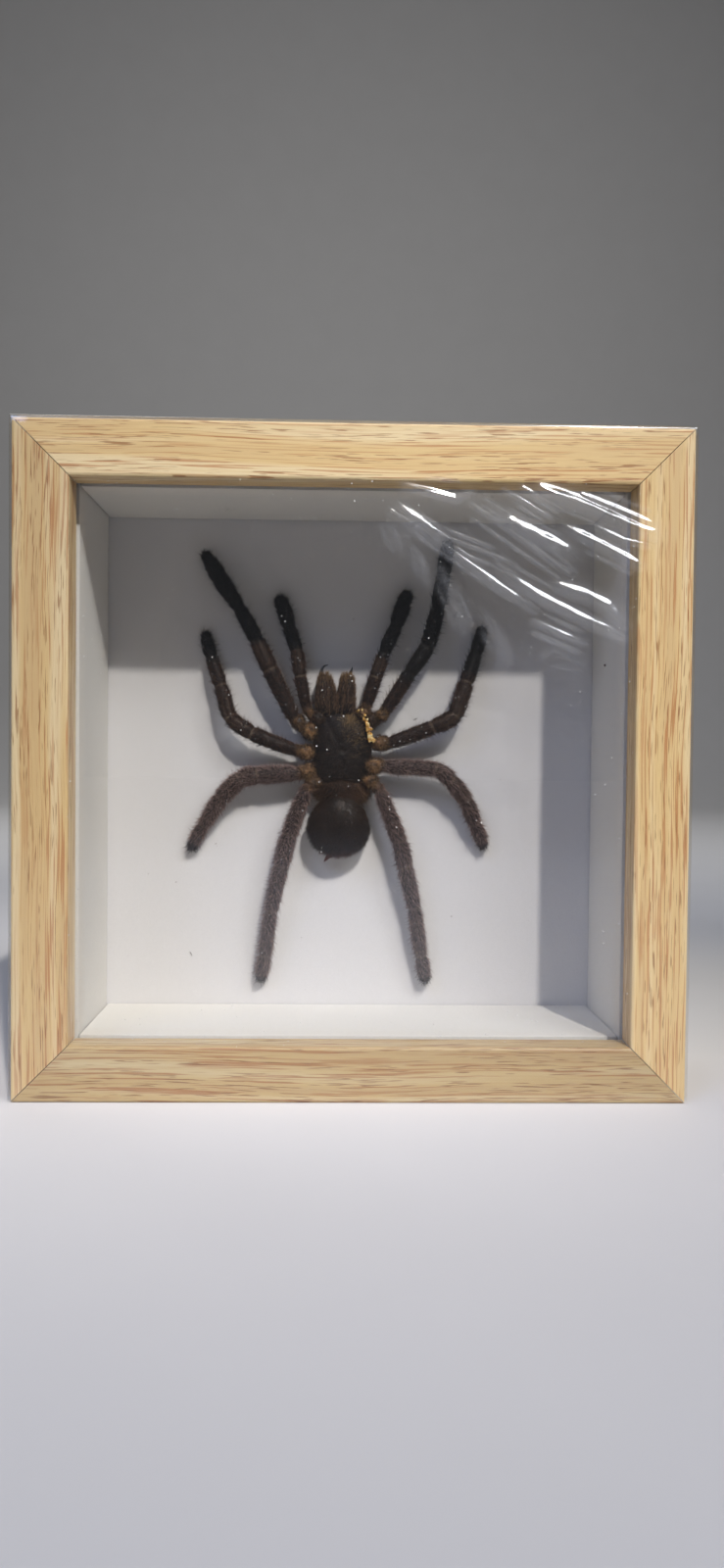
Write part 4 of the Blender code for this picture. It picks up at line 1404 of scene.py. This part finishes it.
    def add_debris(self):
        """Broken hairs and crumbs that lie on the card, and one that clings to the right wall."""
        draw = random.Random(8)
        crumbs = [  # x, z, length and turn in degrees
            (16.6, 86.8, 1.1, 25.0), (0.4, 112.3, 0.5, 80.0), (-40.7, 25.7, 1.3, -60.0), (26.5, 35.8, 0.5, 10.0),
            (-34.5, 54.2, 0.5, 40.0), (-18.4, 57.1, 0.6, 0.0),
        ]
        crumbs += [
            (draw.uniform(-54, 56), draw.uniform(18, 124), draw.uniform(0.15, 0.45), draw.uniform(0, 180))
            for _ in range(14)
        ]
        shapes = []
        for x, z, length, turn in crumbs:
            half = Vector((math.cos(math.radians(turn)), 0, math.sin(math.radians(turn)))) * length / 2
            middle = Vector((x, 0, z))
            joints = [(*(middle + half * t).xz, 0.15, 0.10 - 0.05 * abs(t)) for t in (-1, 0, 1)]
            shapes.append(tube_mesh("crumb", tube_rings(joints, 1.0, spacing=0.4), sides=5)[0])
        speck = bmesh.new()
        bmesh.ops.create_icosphere(speck, subdivisions=2, radius=0.32 * MM)
        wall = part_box("liner_right")[0]
        speck.transform(Matrix.Translation((wall[0] - 0.1 * MM, CARD_FRONT - 14 * MM, 100.0 * MM)))
        mesh = bpy.data.meshes.new("speck")
        speck.to_mesh(mesh)
        speck.free()
        shapes.append(mesh)
        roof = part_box("liner_top")[0]
        for _ in range(14):
            crumb = bmesh.new()
            bmesh.ops.create_icosphere(crumb, subdivisions=1, radius=draw.uniform(0.07, 0.17) * MM)
            place = (draw.gauss(-30.5, 2.2) * MM, CARD_FRONT - draw.uniform(8, 14) * MM, roof[2] - 0.05 * MM)
            crumb.transform(Matrix.Translation(place) @ Matrix.Diagonal((1.3, 1.2, 0.4, 1)))
            mesh = bpy.data.meshes.new("crumb")
            crumb.to_mesh(mesh)
            crumb.free()
            shapes.append(mesh)
        piece_named("card_crumbs", joined("card_crumbs", shapes), lint("brown_lint", "#3A302A", "#8A7C70"))


class SPECIMEN_OT_limbs(bpy.types.Operator):
    """Build the skins of the legs and palps"""
    bl_idname = "specimen.limbs"
    bl_label = "Legs and palps"

    def execute(self, context):
        settings = context.scene.specimen_spider
        skin = spider_cuticle("leg_cuticle", "#1E1511", "#7A5636", settings)
        for name, joints in LIMBS.items():
            share = HIND_SHARE if name.startswith(("leg_3", "leg_4")) else CUTICLE_SHARE
            rings = tube_rings(joints, share, spacing=1.1, pinch=0.14)
            mesh, along, around = tube_mesh(name + "_skin", rings, sides=14, ripple=0.10)
            tip = len(joints) - 1
            bald = 0.45 * (1 - smooth_step(along, 1.5, 2.1))
            black = smooth_step(along, BLACK_FROM[name] - 0.15, BLACK_FROM[name] + 0.1)
            ring = sum(bump_at(along, k, 0.025) for k in (3, 4, 5, 6) if k < tip - 1)
            middle = bump_at(along, 3.9, 0.9) * (along > 3) * (along < 5)
            stripe = middle * bump_at(np.abs(around), 0.42, 0.14) * 0.6
            set_attribute(mesh, "bald", bald)
            set_attribute(mesh, "black", black)
            set_attribute(mesh, "ring", ring)
            set_attribute(mesh, "stripe", stripe)
            set_attribute(mesh, "cover", (1 - 0.7 * bald) * (1 - 0.6 * ring) * (1 - 0.6 * stripe))
            piece = piece_named(name + "_skin", mesh, skin)
            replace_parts(piece, name)
        return {"FINISHED"}


class SPECIMEN_OT_body(bpy.types.Operator):
    """Build the carapace, the abdomen, the jaws and what joins them"""
    bl_idname = "specimen.body"
    bl_label = "Body and jaws"

    def execute(self, context):
        settings = context.scene.specimen_spider
        shield = spider_cuticle("carapace_cuticle", "#140D09", "#7A5636", settings)
        self.add_carapace(shield)
        self.add_abdomen(shield)
        self.add_waist(shield)
        self.add_hips(shield)
        self.add_jaws(shield)
        self.add_eyes()
        self.add_small_tubes()
        self.add_crust()
        return {"FINISHED"}

    def add_carapace(self, material):
        mesh, units = lobe_mesh("carapace_shell", CARAPACE, carapace_shape, 96, 64)
        outwards = np.stack([units[:, 0], units[:, 1] * 0.1, units[:, 2] + 0.15], 1) + 1e-6
        outwards /= np.linalg.norm(outwards, axis=1)[:, None]
        rho = np.hypot(units[:, 0], units[:, 2])
        rim = smooth_step(rho, 0.9, 1.0)
        above = units[:, 1] < 0
        patch = bump_at(np.hypot(units[:, 0] - 0.22, (units[:, 2] - 0.74) * 1.3), 0, 0.2) * above
        # painted sheen: this fainter spread of tan hair on the right half stands in for the sheen there; the patch
        # above is the real tan patch
        patch += 0.25 * bump_at(np.hypot(units[:, 0] - 0.5, (units[:, 2] - 0.45) * 0.8), 0, 0.3) * above
        body_attributes(mesh, outwards, cover=0.6 + 0.4 * rim, bald=0.2 * rim, patch=patch)
        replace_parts(piece_named("carapace_shell", mesh, material), "carapace")

    def add_abdomen(self, material):
        mesh, units = lobe_mesh("abdomen_skin", ABDOMEN, abdomen_shape)
        rear = smooth_step(-units[:, 2], 0.72, 0.95)
        body_attributes(mesh, directions(units, True), rear=rear)
        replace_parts(piece_named("abdomen_skin", mesh, material), "abdomen")

    def add_waist(self, material):
        """The hairy mass over the stalk that joins the abdomen to the carapace."""
        mesh, units = lobe_mesh("waist_skin", WAIST, lambda unit: unit.copy(), 40, 24)
        body_attributes(mesh, directions(units, True, 1.4), bald=0.25 * np.abs(units[:, 0]) ** 2)
        piece_named("waist_skin", mesh, material)

    def add_hips(self, material):
        """Coxae and trochanters: hairy lumps with bald tan tops, packed round the carapace."""
        shapes, lies, balds, covers = [], [], [], []
        for x, z, height, half_x, half_z, tan in HIPS:
            mesh, units = lobe_mesh("hip", ((x, z), height, (half_x, half_z, 1.9)), self.hip_shape, 28, 18)
            radial = np.stack([units[:, 0], -0.25 * np.ones(len(units)), units[:, 2]], 1) + 1e-6
            shapes.append(mesh)
            lies.append(radial / np.linalg.norm(radial, axis=1)[:, None])
            top = smooth_step(-units[:, 1], 0.35, 0.85) * tan
            balds.append(top)
            covers.append(1 - 0.25 * top)
        mesh = joined("hips_skin", shapes)
        mesh.shade_smooth()
        body_attributes(mesh, np.concatenate(lies), cover=np.concatenate(covers), bald=np.concatenate(balds))
        piece_named("hips_skin", mesh, material)

    def hip_shape(self, unit):
        rough = 1 + 0.24 * noise.noise(unit * 1.9) + 0.08 * noise.noise(unit * 6.3)
        return unit * rough

    def add_jaws(self, material):
        for name, (middle, height, half, form) in CHELICERAE.items():
            mesh, units = lobe_mesh(
                name + "_skin", (middle, height, half), lambda unit, form=form: chelicera_shape(unit, *form), 48, 28
            )
            tuft = smooth_step(units[:, 2], 0.45, 0.9)
            body_attributes(mesh, directions(units, False, 0.25), tuft=tuft, bald=0.12 * tuft)
            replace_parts(piece_named(name + "_skin", mesh, material), name)

    def add_eyes(self):
        """Eight eyes in two rows on a low mound at the front of the carapace."""
        (x, z), height, (_, half_z, half_y) = CARAPACE
        front = z + 0.80 * half_z
        top = height + 0.78 * half_y
        rows = [(-0.45, 0.1, 0.30), (0.45, 0.1, 0.30), (-1.05, 0.25, 0.22), (1.05, 0.25, 0.22)]
        rows += [(-1.25, -0.35, 0.20), (1.25, -0.35, 0.20), (-0.85, -0.4, 0.17), (0.85, -0.4, 0.17)]
        shapes = []
        for across, along, radius in rows:
            bead = bmesh.new()
            bmesh.ops.create_icosphere(bead, subdivisions=2, radius=radius * MM)
            bead.transform(Matrix.Translation(above_card(x + across, front + along, top)))
            mesh = bpy.data.meshes.new("eye")
            bead.to_mesh(mesh)
            bead.free()
            shapes.append(mesh)
        mesh = joined("eyes", shapes)
        mesh.shade_smooth()
        piece_named("eyes", mesh, eye_lens())

    def add_small_tubes(self):
        horn = fang_horn()
        red = spider_cuticle("spinneret_cuticle", "#6E3428", "#8A4A36", None)
        for name, joints in SMALL_TUBES.items():
            fang = name.startswith("fang")
            rings = tube_rings(joints, 1.0, spacing=0.3)
            mesh, _, _ = tube_mesh(name + "_tip", rings, sides=12)
            for label in ("cover", "bald", "black", "ring", "stripe"):
                set_attribute(mesh, label, np.zeros(len(mesh.vertices)))
            piece = piece_named(name + "_tip", mesh, horn if fang else red)
            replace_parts(piece, name)

    def add_crust(self):
        """Dried amber fluid along the right rim of the carapace."""
        draw = random.Random(3)
        trail = ((1.6, 88.9, 6.9), (2.6, 88.0, 7.1), (3.5, 86.4, 7.2), (4.0, 85.2, 7.4), (4.2, 84.0, 7.4),
                 (4.6, 82.7, 7.2), (4.9, 81.5, 7.0), (5.7, 80.8, 6.9))
        shapes = []
        for k in range(90):
            spot = (len(trail) - 1.001) * draw.random() ** 0.7
            a, b = trail[int(spot)], trail[int(spot) + 1]
            t = spot % 1
            x, z, height = (p + (q - p) * t for p, q in zip(a, b))
            blob = bmesh.new()
            bmesh.ops.create_icosphere(blob, subdivisions=2, radius=draw.uniform(0.2, 0.42) * MM)
            blob.transform(Matrix.Diagonal((draw.uniform(0.7, 1.1), 0.6, draw.uniform(0.9, 1.6), 1)))
            offset = (draw.gauss(0, 0.3), draw.uniform(-0.4, 0.4), draw.uniform(-0.4, 0.1))
            blob.transform(Matrix.Translation(above_card(x + offset[0], z + offset[1], height + offset[2])))
            mesh = bpy.data.meshes.new("blob")
            blob.to_mesh(mesh)
            blob.free()
            shapes.append(mesh)
        mesh = joined("amber_crust", shapes)
        carrier = bpy.data.objects.new("crust_carrier", mesh)
        bpy.context.scene.collection.objects.link(carrier)
        remesh = carrier.modifiers.new("Merge", "REMESH")
        remesh.mode = "VOXEL"
        remesh.voxel_size = 0.09 * MM
        soften = carrier.modifiers.new("Soften", "SMOOTH")
        soften.factor = 0.5
        soften.iterations = 5
        graph = bpy.context.evaluated_depsgraph_get()
        solid = bpy.data.meshes.new_from_object(carrier.evaluated_get(graph))
        bpy.data.objects.remove(carrier, do_unlink=True)
        solid.shade_smooth()
        piece_named("amber_crust", solid, dried_resin())


class SPECIMEN_OT_hair(bpy.types.Operator):
    """Grow the hair on the legs and the body"""
    bl_idname = "specimen.hair"
    bl_label = "Hair"

    def execute(self, context):
        settings = context.scene.specimen_spider
        density, width = settings.hair_per_mm2, settings.hair_width / MM
        length, seed = settings.hair_length / MM, settings.seed
        brown = spider_hair("leg_hair", "#1A0F0B", "#5E402E", settings)
        mauve = spider_hair("hind_leg_hair", "#433435", "#B5978B", settings)
        body = spider_hair("body_hair", "#0B0604", "#442B16", settings)
        jaw = spider_hair("jaw_hair", "#22160F", "#7E6048", settings)
        tan = spider_hair("tan_hair", "#3E2D1E", "#A5865A", settings)
        rust = spider_hair("rust_hair", "#3A1C14", "#84452E", settings)
        for k, name in enumerate(LIMBS):
            skin = bpy.data.objects[name + "_skin"]
            hair, longer, lean = (mauve, 1.4, 0.56) if name.startswith(("leg_3", "leg_4")) else (brown, 1.1, 0.66)
            grow_bristles(
                name + "_hair", skin, hair, "spider", density, length * longer, width,
                lean=lean, spread=0.35, bend=0.15, shortest=0.5, seed=seed + k
            )
            grow_bristles(
                name + "_long_hair", skin, hair, "spider", 2.0, 2.4, width,
                lean=0.42, spread=0.35, bend=0.3, shortest=0.45, steps=3, seed=seed + 40 + k
            )
        # skin, hair's name, material, hairs on a square millimetre, length, lean, cover, bend
        coats = (
            ("carapace_shell", "carapace_hair", body, 9.0, 0.8, 0.85, "cover", 0.2),
            # the patch cover holds the real tan patch and a painted sheen on the carapace's right half
            ("carapace_shell", "carapace_patch_and_sheen_hair", tan, 46.0, 1.0, 0.85, "patch", 0.2),
            ("abdomen_skin", "abdomen_hair", body, 14.0, 1.4, 0.66, "cover", 0.3),
            ("abdomen_skin", "abdomen_fringe_hair", rust, 7.0, 1.7, 0.7, "rear", 0.3),
            ("waist_skin", "waist_hair", brown, 14.0, 1.8, 0.55, "cover", 0.5),
            ("waist_skin", "waist_long_hair", jaw, 2.4, 3.6, 0.62, "cover", 0.9),
            ("hips_skin", "hips_hair", brown, 9.0, 1.0, 0.75, "cover", 0.2),
            ("hips_skin", "hips_tan_hair", tan, 7.0, 1.3, 0.62, "bald", 0.4),
            ("chelicera_left_skin", "chelicera_left_hair", jaw, 13.0, 1.4, 0.88, "cover", 0.1),
            ("chelicera_left_skin", "chelicera_left_tuft_hair", tan, 12.0, 1.7, 0.85, "tuft", 0.1),
            ("chelicera_right_skin", "chelicera_right_hair", jaw, 13.0, 1.4, 0.88, "cover", 0.1),
            ("chelicera_right_skin", "chelicera_right_tuft_hair", tan, 12.0, 1.7, 0.85, "tuft", 0.1),
        )
        for k, (skin, name, hair, per_mm2, long, lean, cover, bend) in enumerate(coats):
            grow_bristles(
                name, bpy.data.objects[skin], hair, "spider", per_mm2, long, width, lean=lean, spread=0.25,
                bend=bend, shortest=0.4, steps=3 if long > 1.5 else 1, seed=seed + 80 + k, cover=cover
            )
        return {"FINISHED"}


class SPECIMEN_PT_parts(bpy.types.Panel):
    """Lists the steps that finish the specimen"""
    bl_idname = "SPECIMEN_PT_parts"
    bl_label = "Framed tarantula"
    bl_space_type = "VIEW_3D"
    bl_region_type = "UI"
    bl_category = "Specimen"

    def draw(self, context):
        for step in STEPS:
            self.layout.operator(step.bl_idname)


STEPS = (
    SPECIMEN_OT_stage,
    SPECIMEN_OT_rails,
    SPECIMEN_OT_box,
    SPECIMEN_OT_back,
    SPECIMEN_OT_limbs,
    SPECIMEN_OT_body,
    SPECIMEN_OT_hair,
    SPECIMEN_OT_film,
)
GROUPS = {
    "specimen_frame": FrameSettings,
    "specimen_film": FilmSettings,
    "specimen_spider": SpiderSettings,
    "specimen_stage": StageSettings,
}


def register():
    for group in GROUPS.values():
        bpy.utils.register_class(group)
    for name, group in GROUPS.items():
        setattr(bpy.types.Scene, name, bpy.props.PointerProperty(type=group))
    for step in STEPS:
        bpy.utils.register_class(step)
    bpy.utils.register_class(SPECIMEN_PT_parts)


def unregister():
    bpy.utils.unregister_class(SPECIMEN_PT_parts)
    for step in reversed(STEPS):
        bpy.utils.unregister_class(step)
    for name in GROUPS:
        delattr(bpy.types.Scene, name)
    for group in GROUPS.values():
        bpy.utils.unregister_class(group)


def main():
    register()
    bpy.ops.specimen.stage()
    bpy.ops.specimen.rails()
    bpy.ops.specimen.box()
    bpy.ops.specimen.back()
    bpy.ops.specimen.limbs()
    bpy.ops.specimen.body()
    bpy.ops.specimen.hair()
    bpy.ops.specimen.film()
    boxes = [[[float(c) for c in corner] for corner in box] for box in (CAD_BOX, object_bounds())]


if __name__ == "__main__":
    main()
